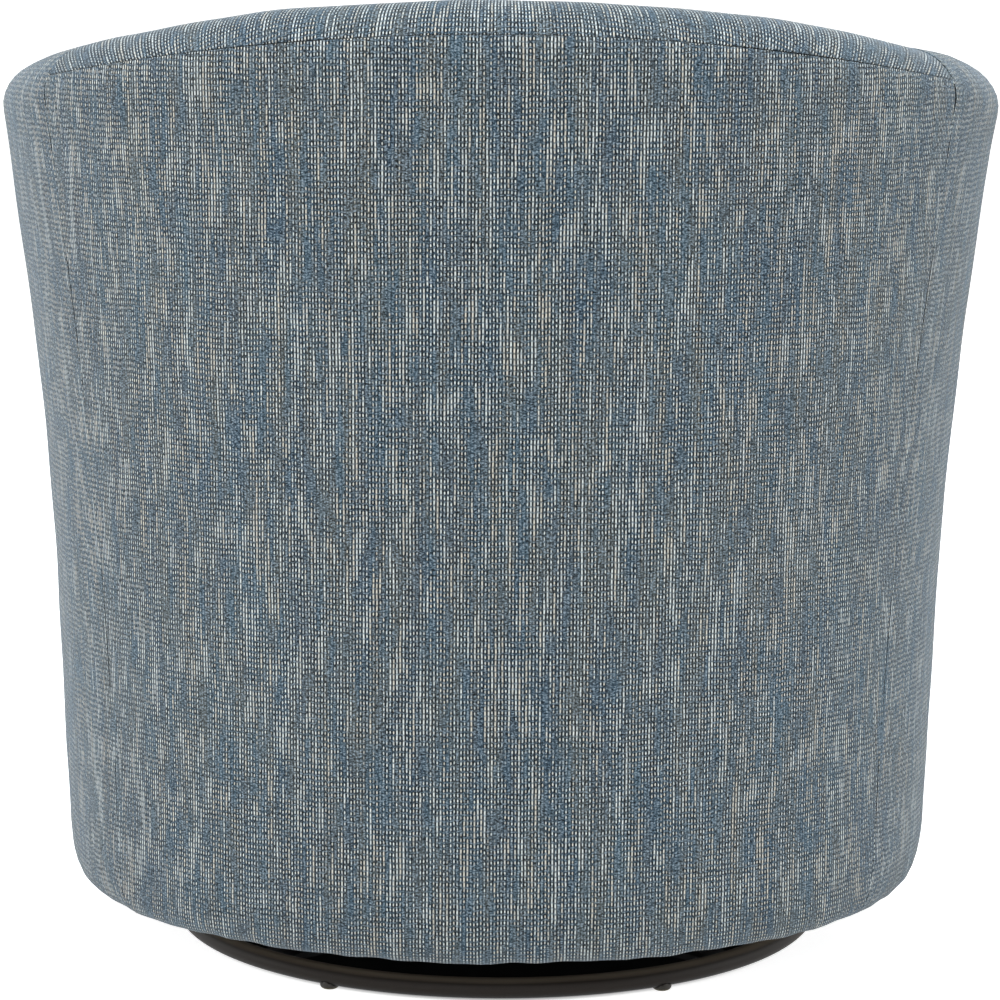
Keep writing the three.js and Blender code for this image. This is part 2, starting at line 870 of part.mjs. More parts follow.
function ballCage() {
  const bottom = ballHeight - cageThickness / 2;
  const top = ballHeight + cageThickness / 2;
  const inner = ballCircle - cageWidth / 2;
  const outer = ballCircle + cageWidth / 2;
  const flat = turned([[inner, bottom], [outer, bottom], [outer, top], [inner, top], [inner, bottom]]);
  const balls = Array.from({ length: ballCount }, (_, i) => {
    const angle = i * 4 * quarter / ballCount;
    const ball = new THREE.SphereGeometry(ballRadius, 8, 5).rotateX(quarter);
    return ball.translate(ballCircle * Math.cos(angle), ballCircle * Math.sin(angle), ballHeight);
  });
  return join(flat, ...balls);
}

function hexagon(across, height) {
  return rod(across / 2 / Math.cos(2 * quarter / hexagonSides), height, hexagonSides);
}

const washerBottom = cradleTop + gap;
const kingNutBottom = washerBottom + kingWasherThickness + gap;
const kingPinTop = kingNutBottom + kingNutHeight + kingPinRadius / 2;

function kingPin() {
  const headTop = spiderBottom - gap;
  const head = hexagon(kingHeadAcross, kingHeadHeight).translate(0, 0, headTop - kingHeadHeight / 2);
  const length = kingPinTop - headTop + kingHeadHeight / 2;
  const shank = rod(kingPinRadius, length).translate(0, 0, kingPinTop - length / 2);
  return join(head, shank);
}

function kingWasher() {
  const top = washerBottom + kingWasherThickness;
  return turned([
    [pinHole, washerBottom],
    [kingWasherRadius, washerBottom],
    [kingWasherRadius, top],
    [pinHole, top],
    [pinHole, washerBottom],
  ], smallSteps);
}

function kingNut() {
  const nut = hexagon(kingHeadAcross, kingNutHeight);
  const bore = rod(kingPinRadius + gap, kingNutHeight + overrun);
  return cut(nut, bore).translate(0, 0, kingNutBottom + kingNutHeight / 2);
}

// Rocking mechanism: a cradle with two ears below, a rocker frame with two cheeks above

const earOuterX = cradleWidth / 2;
const cheekInnerX = earOuterX + bushingFlange + 2 * gap;
const bushingBore = pivotBoltRadius + pivotClearance;
const bushingOuter = bushingBore + bushingWall;

// An upright plate that narrows from a straight foot to a round end on the pivot
function pivotPlate(fromX, footHalf, footZ, endRadius, hole) {
  const up = Math.sign(pivotHeight - footZ);
  const end = arc(0, pivotHeight, endRadius, endRadius * up, 0.15 * quarter, 1.85 * quarter, 8);
  const outline = [[-footHalf, footZ], [footHalf, footZ], ...end];
  return uprightPlate(shapeOf(outline, circle(hole, 16, 0, pivotHeight)), fromX, plateThickness);
}

function springCollar(x, y, fromZ) {
  const inner = springRadius + springWireRadius + woodGap;
  const outer = inner + springCollarWall;
  const wall = turned([
    [inner, 0],
    [outer, 0],
    [outer, springCollarHeight],
    [inner, springCollarHeight],
    [inner, 0],
  ], smallSteps);
  return wall.translate(x, y, fromZ);
}

function springPlaces() {
  return [[-springX, -springY], [springX, -springY], [-springX, springY], [springX, springY]];
}

function cradle() {
  const outline = roundedRectangle(cradleWidth, cradleLength, cradleCorner);
  const floor = plate(shapeOf(outline, circle(pinHole, 16)), cradleBottom, plateThickness);
  const foot = cradleBottom + plateThickness / 2;
  const ears = [-earOuterX, earOuterX - plateThickness].map((x) => pivotPlate(x, earFoot / 2, foot, earTop, bushingBore));
  const sink = plateThickness / 2;
  const collars = springPlaces().map(([x, y]) => springCollar(x, y, cradleTop - sink));
  return join(floor, ...ears, ...collars);
}

function rockerFrame() {
  const width = 2 * (cheekInnerX + plateThickness + rockerFlange);
  const window = roundedRectangle(rockerWindowWidth, rockerWindowLength, cradleCorner);
  const shape = shapeOf(roundedRectangle(width, cradleLength, cradleCorner), window);
  const top = plate(shape, rockerTop - plateThickness, plateThickness);
  const foot = rockerTop - plateThickness / 2;
  const hole = bushingOuter + gap;
  const cheeks = [-cheekInnerX - plateThickness, cheekInnerX].map((x) => {
    return pivotPlate(x, cheekFoot / 2, foot, cheekEnd, hole);
  });
  const collarZ = rockerTop - plateThickness - springCollarHeight + plateThickness / 2;
  const collars = springPlaces().map(([x, y]) => springCollar(x, y, collarZ));
  return join(top, ...cheeks, ...collars);
}

// Pieces on the pivot are drawn along Z and turned to lie along X; side is 1 at +X and -1 at -X
function onPivot(geometry, side) {
  geometry.rotateY(quarter);
  if (side < 0) {
    geometry.rotateZ(2 * quarter);
  }
  return geometry.translate(0, 0, pivotHeight);
}

function pivotBushing(side) {
  const flangeStart = earOuterX + gap;
  const flangeEnd = flangeStart + bushingFlange;
  const end = cheekInnerX + plateThickness;
  return onPivot(turned([
    [bushingBore, flangeStart],
    [bushingFlangeRadius, flangeStart],
    [bushingFlangeRadius, flangeEnd],
    [bushingOuter, flangeEnd],
    [bushingOuter, end],
    [bushingBore, end],
    [bushingBore, flangeStart],
  ], smallSteps), side);
}

function pivotBolt(side) {
  const headStart = cheekInnerX + plateThickness + gap;
  const shankStart = earOuterX - plateThickness - pivotNutHeight - gap - pivotBoltRadius / 2;
  const length = headStart + pivotHeadHeight / 2 - shankStart;
  const head = hexagon(pivotHeadAcross, pivotHeadHeight).translate(0, 0, headStart + pivotHeadHeight / 2);
  const shank = rod(pivotBoltRadius, length).translate(0, 0, shankStart + length / 2);
  return onPivot(join(head, shank), side);
}

function pivotNut(side) {
  const nut = hexagon(pivotHeadAcross, pivotNutHeight);
  const bore = rod(pivotBoltRadius + gap, pivotNutHeight + overrun);
  const z = earOuterX - plateThickness - gap - pivotNutHeight / 2;
  return onPivot(cut(nut, bore).translate(0, 0, z), side);
}

function coilSpring([x, y]) {
  const bottom = cradleTop + gap + springWireRadius;
  const top = rockerTop - plateThickness - gap - springWireRadius;
  const steps = springCurls * curlSteps;
  const points = Array.from({ length: steps + 1 }, (_, i) => {
    const angle = i / curlSteps * 4 * quarter;
    const z = mix(bottom, top, i / steps);
    return new THREE.Vector3(x + springRadius * Math.cos(angle), y + springRadius * Math.sin(angle), z);
  });
  console.log('coil spring: least gap to itself', leastGap(points, springWireRadius, curlSteps / 2).toFixed(1), 'mm');
  return wire(points, springWireRadius, wireSides);
}

function bearer(side) {
  const bottom = frameTop + gap;
  const x = side * (bearerOuterX - bearerWidth / 2);
  return board(x, 0, bottom, bearerWidth, bearerLength, rockerTop - bottom);
}

function crossBoard(y) {
  return board(0, y, rockerTop + gap, bearerOuterX * 2, crossBoardWidth, crossBoardThickness);
}

// Finishes

function finish(color, roughness, metalness = 0) {
  return new THREE.MeshStandardMaterial({ color, roughness, metalness });
}

const finishes = {
  tweed: finish(0x66717a, 0.95),
  dust: finish(0x151516, 0.95),
  bronze: finish(0x2b2722, 0.42, 0.7),
  steel: finish(0x3a3b3d, 0.5, 0.8),
  zinc: finish(0x9a9a96, 0.4, 0.9),
  springSteel: finish(0x4a4b4e, 0.35, 0.9),
  nylon: finish(0xb9a58a, 0.5),
  plywood: finish(0xb79a6e, 0.75),
  hardwood: finish(0x9c7a4f, 0.75),
  felt: finish(0x8d8a82, 0.95),
};

function add(group, name, geometry, material) {
  const mesh = new THREE.Mesh(geometry, finishes[material]);
  mesh.name = name;
  group.add(mesh);
}

function buildBase() {
  const group = new THREE.Group();
  add(group, 'base_ring', ring(ringTubeRadius), 'bronze');
  add(group, 'base_spider', baseSpider(), 'steel');
  for (let number = 1; number <= glideCount; number++) {
    add(group, `glide_${number}`, glide(number), 'nylon');
  }
  add(group, 'lower_race', lowerRace(), 'zinc');
  add(group, 'king_pin', kingPin(), 'zinc');
  add(group, 'king_washer', kingWasher(), 'zinc');
  add(group, 'king_nut', kingNut(), 'zinc');
  add(group, 'ball_cage', ballCage(), 'zinc');
  return group;
}

function buildTurntable() {
  const group = new THREE.Group();
  add(group, 'upper_race', upperRace(), 'zinc');
  add(group, 'cradle', cradle(), 'steel');
  for (const [end, side] of [['left', 1], ['right', -1]]) {
    add(group, `pivot_bolt_${end}`, pivotBolt(side), 'zinc');
    add(group, `pivot_nut_${end}`, pivotNut(side), 'zinc');
  }
  springPlaces().forEach((spot, i) => add(group, `coil_spring_${i + 1}`, coilSpring(spot), 'springSteel'));
  return group;
}

function buildSeatFrame() {
  const group = new THREE.Group();
  add(group, 'rocker_frame', rockerFrame(), 'steel');
  add(group, 'cross_board_front', crossBoard(-crossBoardY), 'hardwood');
  add(group, 'cross_board_rear', crossBoard(crossBoardY), 'hardwood');
  add(group, 'base_frame', baseFrame(), 'plywood');
  add(group, 'seat_hoop', seatHoop(), 'plywood');
  add(group, 'top_hoop', topHoop(), 'plywood');
  add(group, 'front_rail', frontRail(), 'plywood');
  for (const [end, side] of [['left', 1], ['right', -1]]) {
    add(group, `pivot_bushing_${end}`, pivotBushing(side), 'nylon');
    add(group, `bearer_${end}`, bearer(side), 'hardwood');
    add(group, `post_rear_${end}`, post(side * rearPostShare), 'hardwood');
    add(group, `post_side_${end}`, post(side * sidePostShare), 'hardwood');
    add(group, `post_front_${end}`, post(side * (2 - frontPostInset / armLength)), 'hardwood');
  }
  flatSpringPlaces.forEach((x, i) => add(group, `flat_spring_${i + 1}`, flatSpring(x), 'springSteel'));
  return group;
}

function buildUpholstery() {
  const group = new THREE.Group();
  add(group, 'deck', deck(), 'felt');
  add(group, 'dust_cover', dustCover(), 'dust');
  add(group, 'outside_back', outsideBack(), 'tweed');
  add(group, 'inside_back', insideBack(), 'tweed');
  add(group, 'front_apron', frontApron(), 'tweed');
  for (const [end, side] of [['left', 1], ['right', -1]]) {
    add(group, `outside_arm_${end}`, outsideArm(side), 'tweed');
    add(group, `inside_arm_${end}`, insideArm(side), 'tweed');
    add(group, `arm_front_${end}`, armFront(side), 'tweed');
  }
  add(group, 'seat_cushion', seatCushion(), 'tweed');
  return group;
}

const chair = new THREE.Group();
chair.add(buildBase());
chair.add(buildTurntable());
chair.add(buildSeatFrame());
chair.add(buildUpholstery());

export default chair;
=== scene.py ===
import math

import bmesh
import bpy
import numpy as np
from mathutils import Euler, Matrix, Vector


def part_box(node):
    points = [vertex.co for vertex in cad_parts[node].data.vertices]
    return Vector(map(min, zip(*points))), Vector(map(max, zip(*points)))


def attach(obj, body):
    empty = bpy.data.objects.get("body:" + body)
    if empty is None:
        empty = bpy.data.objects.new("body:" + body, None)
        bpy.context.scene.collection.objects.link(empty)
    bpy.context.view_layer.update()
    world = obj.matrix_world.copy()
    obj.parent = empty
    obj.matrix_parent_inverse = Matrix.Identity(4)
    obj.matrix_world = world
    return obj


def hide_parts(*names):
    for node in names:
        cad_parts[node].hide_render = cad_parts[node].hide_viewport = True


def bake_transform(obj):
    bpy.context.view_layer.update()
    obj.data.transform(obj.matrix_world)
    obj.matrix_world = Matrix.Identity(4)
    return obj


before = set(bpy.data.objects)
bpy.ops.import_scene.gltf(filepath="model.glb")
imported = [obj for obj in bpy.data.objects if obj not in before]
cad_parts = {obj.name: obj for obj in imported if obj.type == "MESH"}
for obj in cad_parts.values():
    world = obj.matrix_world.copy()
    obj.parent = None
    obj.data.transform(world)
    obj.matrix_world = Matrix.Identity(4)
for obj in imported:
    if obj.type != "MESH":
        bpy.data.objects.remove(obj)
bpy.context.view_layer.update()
quarter = math.pi / 2
halfTurn = math.pi
fullTurn = 2 * math.pi


def addObject(name, data):
    thing = bpy.data.objects.new(name, data)
    bpy.context.scene.collection.objects.link(thing)
    return thing


# The camera stands behind the chair and looks a little down on it
cameraView = {
    "place": (0.0, 3.0, 0.843),
    "pitchDown": 9.40,  # degrees
    "turn": -0.03,
    "roll": 0.28,
    "lens": 133.9,  # millimetres on a 36 mm sensor
}


def buildCamera():
    data = bpy.data.cameras.new("camera")
    data.sensor_width = 36
    data.lens = cameraView["lens"]
    data.clip_start = 0.05
    camera = addObject("camera", data)
    tilt = Euler((math.radians(90 - cameraView["pitchDown"]), 0, math.radians(180 + cameraView["turn"])))
    roll = Matrix.Rotation(math.radians(cameraView["roll"]), 4, "Z")
    camera.matrix_world = Matrix.Translation(cameraView["place"]) @ tilt.to_matrix().to_4x4() @ roll
    bpy.context.scene.camera = camera


buildCamera()
print("camera is in place")


# Shader nodes. A Wire wraps one socket, and an expression on wires adds its Math nodes.
def operator(operation, reflected=False):
    def apply(wire, other):
        values = (other, wire) if reflected else (wire, other)
        return wire.nodes.maths(operation, *values)
    return apply


class Wire:
    def __init__(self, nodes, socket):
        self.nodes = nodes
        self.socket = socket

    __add__, __radd__ = operator("ADD"), operator("ADD", reflected=True)
    __sub__, __rsub__ = operator("SUBTRACT"), operator("SUBTRACT", reflected=True)
    __mul__, __rmul__ = operator("MULTIPLY"), operator("MULTIPLY", reflected=True)
    __truediv__ = operator("DIVIDE")


# The nodes of one tree
class Nodes:
    def __init__(self, tree):
        self.tree = tree

    def feed(self, socket, value):
        if isinstance(value, Wire):
            self.tree.links.new(value.socket, socket)
        else:
            socket.default_value = value

    def node(self, kind, settings=(), inputs=(), output=0):
        made = self.tree.nodes.new("ShaderNode" + kind)
        for label, value in dict(settings).items():
            setattr(made, label, value)
        for label, value in dict(inputs).items():
            self.feed(made.inputs[label], value)
        return Wire(self, made.outputs[output])

    def maths(self, operation, *values, clamp=False):
        return self.node("Math", {"operation": operation, "use_clamp": clamp}, enumerate(values))

    def floor(self, value):
        return self.maths("FLOOR", value)

    # 0 below the edge, 1 above it, with a ramp of the given width between
    def step(self, value, edge, width):
        return self.limit((value - (edge - width / 2)) * (1 / width))

    def limit(self, value):
        return self.maths("ADD", value, 0.0, clamp=True)

    def vector(self, x, y, z=0.0):
        return self.node("CombineXYZ", inputs={0: x, 1: y, 2: z})

    def axis(self, vector, number):
        return self.node("SeparateXYZ", inputs={0: vector}, output=number)

    def noise(self, vector, scale, detail, roughness=0.5):
        return self.node("TexNoise", inputs={
            "Vector": vector, "Scale": scale, "Detail": detail, "Roughness": roughness,
        })

    # noise over two values, one grain to a unit
    def grain(self, x, y, seed, detail=1, roughness=0.5):
        return self.noise(self.vector(x, y, seed), 1, detail, roughness)

    # 0 in the middle of each unit, 1 between two
    def fold(self, value):
        return self.maths("ABSOLUTE", self.maths("FRACT", value) - 0.5) * 2

    def mix(self, share, a, b):
        return self.node("Mix", {"data_type": "RGBA"}, {0: share, 6: a, 7: b}, 2)

    def objectPlace(self):
        return self.node("TexCoord", output=3)


# A material and its shader
class Finish(Nodes):
    def __init__(self, name, **settings):
        self.material = bpy.data.materials.new(name)
        self.material.use_nodes = True
        super().__init__(self.material.node_tree)
        self.shader = self.tree.nodes["Principled BSDF"]
        for label, value in settings.items():
            self.set(label, value)

    def set(self, label, value):
        self.feed(self.shader.inputs[label.replace("_", " ")], value)

    # takes what changes over the surface, the depth of its bumps in metres among it
    def done(self, colour, height, depth, strength, roughness=None):
        self.set("Base_Color", colour)
        self.set("Normal", self.node("Bump", inputs={"Strength": strength, "Distance": depth, "Height": height}))
        if roughness is not None:
            self.set("Roughness", roughness)
        return self.material


def shade(red, green, blue):
    def linear(part):
        part = part / 255
        return part / 12.92 if part <= 0.04045 else ((part + 0.055) / 1.055) ** 2.4
    return (linear(red), linear(green), linear(blue), 1)


# The tweed: cream floats in columns over a slate-blue ground
tweed = {
    "column": 0.0025, "row": 0.0042,  # metres
    "cream": shade(218, 222, 218),
    "beige": shade(212, 205, 190),
    "pale": shade(134, 148, 158),
    "slate": shade(63, 83, 95),
    "navy": shade(42, 61, 79),
    "khaki": shade(80, 85, 84),
    "ground": shade(8, 10, 12),
    "wander": 0.3,  # how far the columns wander sideways
    "lineAt": 0.614,  # noise above which a float is unbroken
    "dashAt": 0.428,  # and above which it is dashed
    "blocks": 0.6,  # how far neighbouring columns go together
    "furrow": 0.95,  # darkness beside the floats
    "dashWidth": 0.19, "dashLength": 0.32, "dashEdge": 0.3,
    "lineDip": 0.72,  # how far an unbroken float sinks between two rows
    "rowEdge": 0.2,
    "rowShift": 0.28, "rowDrift": 0.6,  # how far rows lie apart from one column to the next, and farther off
    "specks": 4.4, "crumbs": 7.0,  # light and dark grains of the ground
    "bump": 0.0005,
}


def makeTweed():
    f = Finish("tweed", Roughness=0.9, Specular_IOR_Level=0.15, Sheen_Weight=0.3, Sheen_Roughness=0.45,
               Sheen_Tint=(0.78, 0.87, 0.95, 1))
    uv = f.node("UVMap", {"uv_map": "weave"})
    u, v = f.axis(uv, 0), f.axis(uv, 1)
    across = u / tweed["column"] + (f.noise(f.vector(u, v), 90, 1) - 0.5) * tweed["wander"]
    along = v / tweed["row"]
    column = f.floor(across)
    inColumn = f.fold(across)

    # where a column's float is unbroken, dashed or under the ground
    run = f.grain(column * 3.713 + 0.37, along / 8, 0, roughness=0.6)
    block = f.grain(across / 4, along / 8, 7.3)
    state = run + (block - 0.5) * tweed["blocks"]
    line = f.step(state, tweed["lineAt"], 0.02)
    dashed = f.step(state, tweed["dashAt"], 0.12)

    # rows lie level across the columns
    phase = f.node("TexWhiteNoise", {"noise_dimensions": "1D"}, {"W": column})
    drift = f.grain(across / 14, along / 9, 3.7, 0)
    rowPlace = along + (phase - 0.5) * tweed["rowShift"] + drift * tweed["rowDrift"]
    inRow = f.fold(rowPlace)
    raised = 1 - f.step(inRow, 0.66, tweed["rowEdge"])
    stitch = f.node("TexWhiteNoise", {"noise_dimensions": "2D"}, {"Vector": f.vector(column, f.floor(rowPlace))})
    oval = f.maths("SQRT", inColumn * inColumn / tweed["dashWidth"] + inRow * inRow / tweed["dashLength"])
    dash = (1 - f.step(oval, 0.92, tweed["dashEdge"])) * (0.72 + stitch * 0.42)
    unbroken = (1 - f.step(inColumn, 0.42, 0.44)) * (1 - tweed["lineDip"] * (1 - raised))
    yarn = f.maths("MAXIMUM", line * unbroken, dashed * dash)

    # small stitches of the ground between and under the floats
    speck = f.grain(across * 1.25, along * 3.0, 2.2, 2, 0.8)
    small = f.fold(rowPlace * 2 + column * 0.5)
    dot = (1 - f.step(small, 0.5, 0.8)) * (1 - f.step(inColumn, 0.5, 0.7))
    blotch = f.grain(across / 3.4, along / 22, 1.7)
    tone = f.grain(across / 7, along / 36, 4.1)
    base = f.mix(f.step(blotch, 0.5, 0.26), tweed["slate"], tweed["khaki"])
    base = f.mix(f.step(tone, 0.52, 0.24) * 0.5, base, tweed["navy"])
    base = f.mix(f.limit(dot * (speck * 3.6 - 1.3) + (speck - 0.52) * tweed["specks"]), base, tweed["pale"])
    furrow = f.step(inColumn, 0.58, 0.5) * (0.14 + dashed * (0.20 + raised * tweed["furrow"]))
    crumb = f.limit((0.48 - speck) * tweed["crumbs"])
    base = f.mix(f.limit(furrow + crumb), base, tweed["ground"])

    hue = f.grain(column * 1.931 + 0.21, along / 30, 9.4, 0)
    yarnColour = f.mix(f.step(hue, 0.54, 0.14), tweed["cream"], tweed["beige"])
    dull = f.grain(across * 0.7, along * 0.8, 5.5)
    yarnColour = f.mix(f.step(dull, 0.5, 0.4) * 0.35, yarnColour, tweed["slate"])
    height = yarn * 0.7 + (1 - inColumn * inColumn) * 0.35 + dot * 0.25 + speck * 0.25
    return f.done(f.mix(f.limit(yarn), base, yarnColour), height, tweed["bump"], 0.9)


def makeDeckCloth():
    f = Finish("deckCloth", Roughness=0.95, Sheen_Weight=0.2)
    weave = f.noise(f.objectPlace(), 900, 2)
    return f.done(f.mix(f.step(weave, 0.5, 0.5), shade(120, 118, 112), shade(152, 149, 141)), weave, 0.0006, 0.7)


def makeDustCloth():
    f = Finish("dustCloth", Roughness=0.95)
    place = f.objectPlace()
    fibre = f.noise(place, 700, 3)
    dimple = f.node("TexVoronoi", inputs={"Vector": place, "Scale": 420})
    colour = f.mix(f.step(fibre, 0.5, 0.5), shade(16, 16, 17), shade(30, 30, 31))
    return f.done(colour, dimple * 0.6 + fibre * 0.4, 0.0004, 0.7)


# Heights are above the floor, in metres
bronze = {
    "paint": shade(24, 18, 13), "fleck": shade(36, 29, 21), "low": shade(6, 5, 4), "paintedHighlight": shade(128, 117, 102),
    "paintedShadeAt": 0.0062, "paintedShadeEdge": 0.0032,  # painted shade: the tube is darker underneath
    "highlightAt": 0.0176, "highlightEdge": 0.0030, "unevenness": 0.0012,  # and a highlight is painted along its top
}
nylon = {
    "dark": shade(30, 26, 20), "pale": shade(42, 37, 29), "paintedRimLight": shade(112, 106, 74),
    "rimLightAt": 0.0019, "rimLightEdge": 0.0010, "unevenness": 0.0006,  # painted light: an olive tan at the foot's rim
}


def makeBronzePaint():
    f = Finish("bronzePaint", Metallic=0.1, IOR=1.45, Specular_IOR_Level=0.3)
    place = f.objectPlace()
    height = f.axis(place, 2)
    fleck = f.noise(place, 1400, 2)
    cloud = f.noise(place, 9, 2)
    plain = f.mix(f.step(fleck, 0.55, 0.3) * 0.6, bronze["paint"], bronze["fleck"])
    # painted shade: the tube's colour darkens towards its underside
    low = f.mix(f.step(height, bronze["paintedShadeAt"], bronze["paintedShadeEdge"]), bronze["low"], plain)
    # painted highlight: the tube's colour lightens along its top
    paintedHighlight = f.step(height + cloud * bronze["unevenness"], bronze["highlightAt"], bronze["highlightEdge"]) * 0.75
    return f.done(f.mix(paintedHighlight, low, bronze["paintedHighlight"]), fleck * 0.5 + cloud * 0.5, 0.0001, 0.35, 0.5 + cloud * 0.12)


def makeMetal(name, dark, light, roughness, metallic, grain):
    f = Finish(name, Metallic=metallic)
    place = f.objectPlace()
    cloud = f.noise(place, 60, 3)
    fine = f.noise(place, grain, 2)
    return f.done(f.mix(f.step(cloud, 0.5, 0.5), dark, light), fine, 0.00008, 0.4, roughness - 0.06 + fine * 0.16)


def makeNylon():
    f = Finish("nylon", IOR=1.5)
    place = f.objectPlace()
    cloud = f.noise(place, 220, 2)
    height = f.axis(place, 2) + cloud * nylon["unevenness"]
    # painted light: the foot's rim turns an olive tan, lighter than the dome above it
    paintedRimLight = (1 - f.step(height, nylon["rimLightAt"], nylon["rimLightEdge"])) * 0.8
    colour = f.mix(f.limit(paintedRimLight), f.mix(cloud, nylon["dark"], nylon["pale"]), nylon["paintedRimLight"])
    return f.done(colour, cloud, 0.0001, 0.3, 0.5 + cloud * 0.2)


def makeWood(name, dark, light, ringScale, stretch):
    f = Finish(name)
    long = f.node("VectorMath", {"operation": "MULTIPLY"}, {0: f.objectPlace(), 1: stretch})
    wobble = f.noise(long, 4, 3)
    rings = f.node("TexWave", {"bands_direction": "DIAGONAL"}, {
        "Vector": long, "Scale": ringScale, "Distortion": 5.0, "Detail": 2.0,
    }, 1)
    pores = f.noise(long, 160, 2)
    grain = f.limit(rings * 0.6 + wobble * 0.3 + pores * 0.2)
    return f.done(f.mix(grain, dark, light), rings * 0.4 + pores * 0.6, 0.0003, 0.5, 0.62 + pores * 0.2)


finishes = {
    "tweed": makeTweed(),
    "deck_cloth": makeDeckCloth(),
    "dust_cloth": makeDustCloth(),
    "bronze_paint": makeBronzePaint(),
    "black_steel": makeMetal("blackSteel", shade(30, 30, 32), shade(46, 46, 48), 0.5, 0.5, 900),
    "zinc_steel": makeMetal("zincSteel", shade(142, 142, 138), shade(176, 175, 168), 0.34, 0.95, 1500),
    "spring_steel": makeMetal("springSteel", shade(58, 58, 60), shade(88, 87, 86), 0.36, 0.9, 1200),
    "nylon": makeNylon(),
    "plywood": makeWood("plywood", shade(150, 118, 78), shade(196, 164, 118), 3.0, (6, 6, 60)),
    "hardwood": makeWood("hardwood", shade(128, 92, 56), shade(176, 136, 90), 5.0, (9, 9, 3)),
}
print("finishes are made")


# Meshes
def addPiece(name, body, slot, points, faces, weave=None, replaced=(), sharpAngle=38):
    mesh = bpy.data.meshes.new(name)
    mesh.from_pydata([tuple(p) for p in points], [], [tuple(f) for f in faces])
    mesh.update()
    if weave is not None:
        corners = np.empty(len(mesh.loops), int)
        mesh.loops.foreach_get("vertex_index", corners)
        layer = mesh.uv_layers.new(name="weave")
        layer.data.foreach_set("uv", np.asarray(weave, float)[corners].astype(np.float32).ravel())
    work = bmesh.new()
    work.from_mesh(mesh)
    if work.calc_volume(signed=True) < 0:
        bmesh.ops.reverse_faces(work, faces=work.faces)
    work.to_mesh(mesh)
    work.free()
    mesh.shade_smooth()
    mesh.set_sharp_from_angle(angle=math.radians(sharpAngle))
    mesh.materials.append(finishes[slot])
    piece = addObject(name, mesh)
    if body:
        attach(piece, body)
    if replaced:
        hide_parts(*replaced)
    return piece


# Quads through rings of points, closed round each ring. The ends are capped, or joined where it is a loop.
def loftFaces(ringCount, pointCount, loop=False):
    total = ringCount * pointCount
    faces = []
    for i in range(ringCount if loop else ringCount - 1):
        for j in range(pointCount):
            here, beside = i * pointCount + j, i * pointCount + (j + 1) % pointCount
            faces.append((here, beside, (beside + pointCount) % total, (here + pointCount) % total))
    if not loop:
        faces.append(tuple(reversed(range(pointCount))))
        faces.append(tuple(range(total - pointCount, total)))
    return faces


def pointsOf(mesh):
    return np.array([v.co for v in mesh.vertices])


def movePoints(mesh, points):
    mesh.vertices.foreach_set("co", points.ravel())
    mesh.update()


def mixed(a, b, share):
    return a + (b - a) * share


# 0 to 1 with a soft start and a soft end
def eased(share):
    return share * share * (3 - 2 * share)


# 1 in the middle, falling to 0 over the reach; a rise over 1 makes the middle flat
def hump(distance, reach, rise=1):
    return np.clip(rise - np.abs(distance) / reach, 0, 1)


def unit(vectors):
    return vectors / np.linalg.norm(vectors, axis=-1, keepdims=True)


def summed(steps):
    return np.concatenate([[0], np.cumsum(steps)])


def lengthAlong(line):
    return summed(np.hypot(*np.diff(line, axis=0).T))


def aroundCircle(count):
    return np.arange(count) * fullTurn / count


# The tub's wall, in metres. A place along it is t: -1 to 1 round the back, on to -2 and 2 at the arms' ends.
tub = {
    "width": 0.787, "depth": 0.756, "height": 0.762,
    "centreY": 0.026, "armLength": 0.364, "armBend": 1.4,
    "sideFlare": 0.0457, "backFlare": 0.033, "frontFlare": 0.030, "flarePower": 1.84,
    "sideCrest": 0.704, "frontCrest": 0.632, "backRimPower": 1.53, "armRimPower": 1.5,
    "rollOut": 0.0425, "rollDrop": 0.0364, "rollIn": 0.045, "rollInDrop": 0.070, "bandDrop": 0.023,
    "hemHeight": 0.050, "hemRadius": 0.023, "hemRise": 0.047, "hemLip": 0.045, "lipThickness": 0.0027,
    "seamFootShare": 0.633, "seamTopShare": 0.68, "seamBendHeight": 0.640, "seamHalfGap": 0.00012,
    "panelDepth": 0.012, "woodGap": 0.0015, "postDepth": 0.022, "armInset": 0.070, "backInset": 0.145,
    "armCrown": 0.005, "backCrown": 0.009, "frameInset": 0.024, "frameThickness": 0.022,
    "hoopWidth": 0.040, "hoopThickness": 0.020, "deckHeight": 0.327, "gap": 0.0003,
    "seamRoll": 0.0007,  # how far a cover's edge rounds down into its seam
    "grid": 0.0075,  # size of the covers' mesh
    "waves": 0.0006, "wavesFrom": 0.05,  # unevenness of the padding, and how far from a seam it is full
}
gap = tub["gap"]
seamTop = tub["seamTopShare"]
lipTop = tub["hemHeight"] + tub["lipThickness"]
insideFoot = tub["deckHeight"] + gap  # where the inside covers and the cushion begin
halfWidth = tub["width"] / 2 - tub["sideFlare"]
backDepth = tub["depth"] / 2 - tub["centreY"] - tub["backFlare"]
wallFoot = tub["hemHeight"] + tub["hemRise"]
hoopInset = tub["panelDepth"] + 3 * tub["woodGap"]
padInset = tub["panelDepth"] + 3 * tub["woodGap"] + tub["postDepth"]
frameTop = lipTop + gap + tub["frameThickness"]
armEndY = tub["centreY"] - tub["armLength"]
seamGapShare = tub["seamHalfGap"] / (quarter * halfWidth)


# A place on the foot outline and the direction straight out of it
def pathAt(t):
    t = np.asarray(t, float)
    side, turn = np.sign(t), np.clip(t, -1, 1) * quarter
    run = np.maximum(np.abs(t) - 1, 0) * tub["armLength"]
    closing = tub["armBend"] - np.sqrt(tub["armBend"] ** 2 - run ** 2)
    x = halfWidth * np.sin(turn) - side * closing
    y = tub["centreY"] + backDepth * np.cos(turn) - run
    nx, ny = backDepth * np.sin(turn), halfWidth * np.cos(turn)
    length = np.hypot(nx, ny)
    return x, y, nx / length, ny / length


def place(t, offset, z):
    x, y, nx, ny = pathAt(t)
    return np.stack([x + nx * offset, y + ny * offset, z + np.zeros_like(x)], -1)


def backShare(t):
    return np.cos(np.clip(t, -1, 1) * quarter) ** 2


def frontShare(t):
    return np.maximum(np.abs(t) - 1, 0)


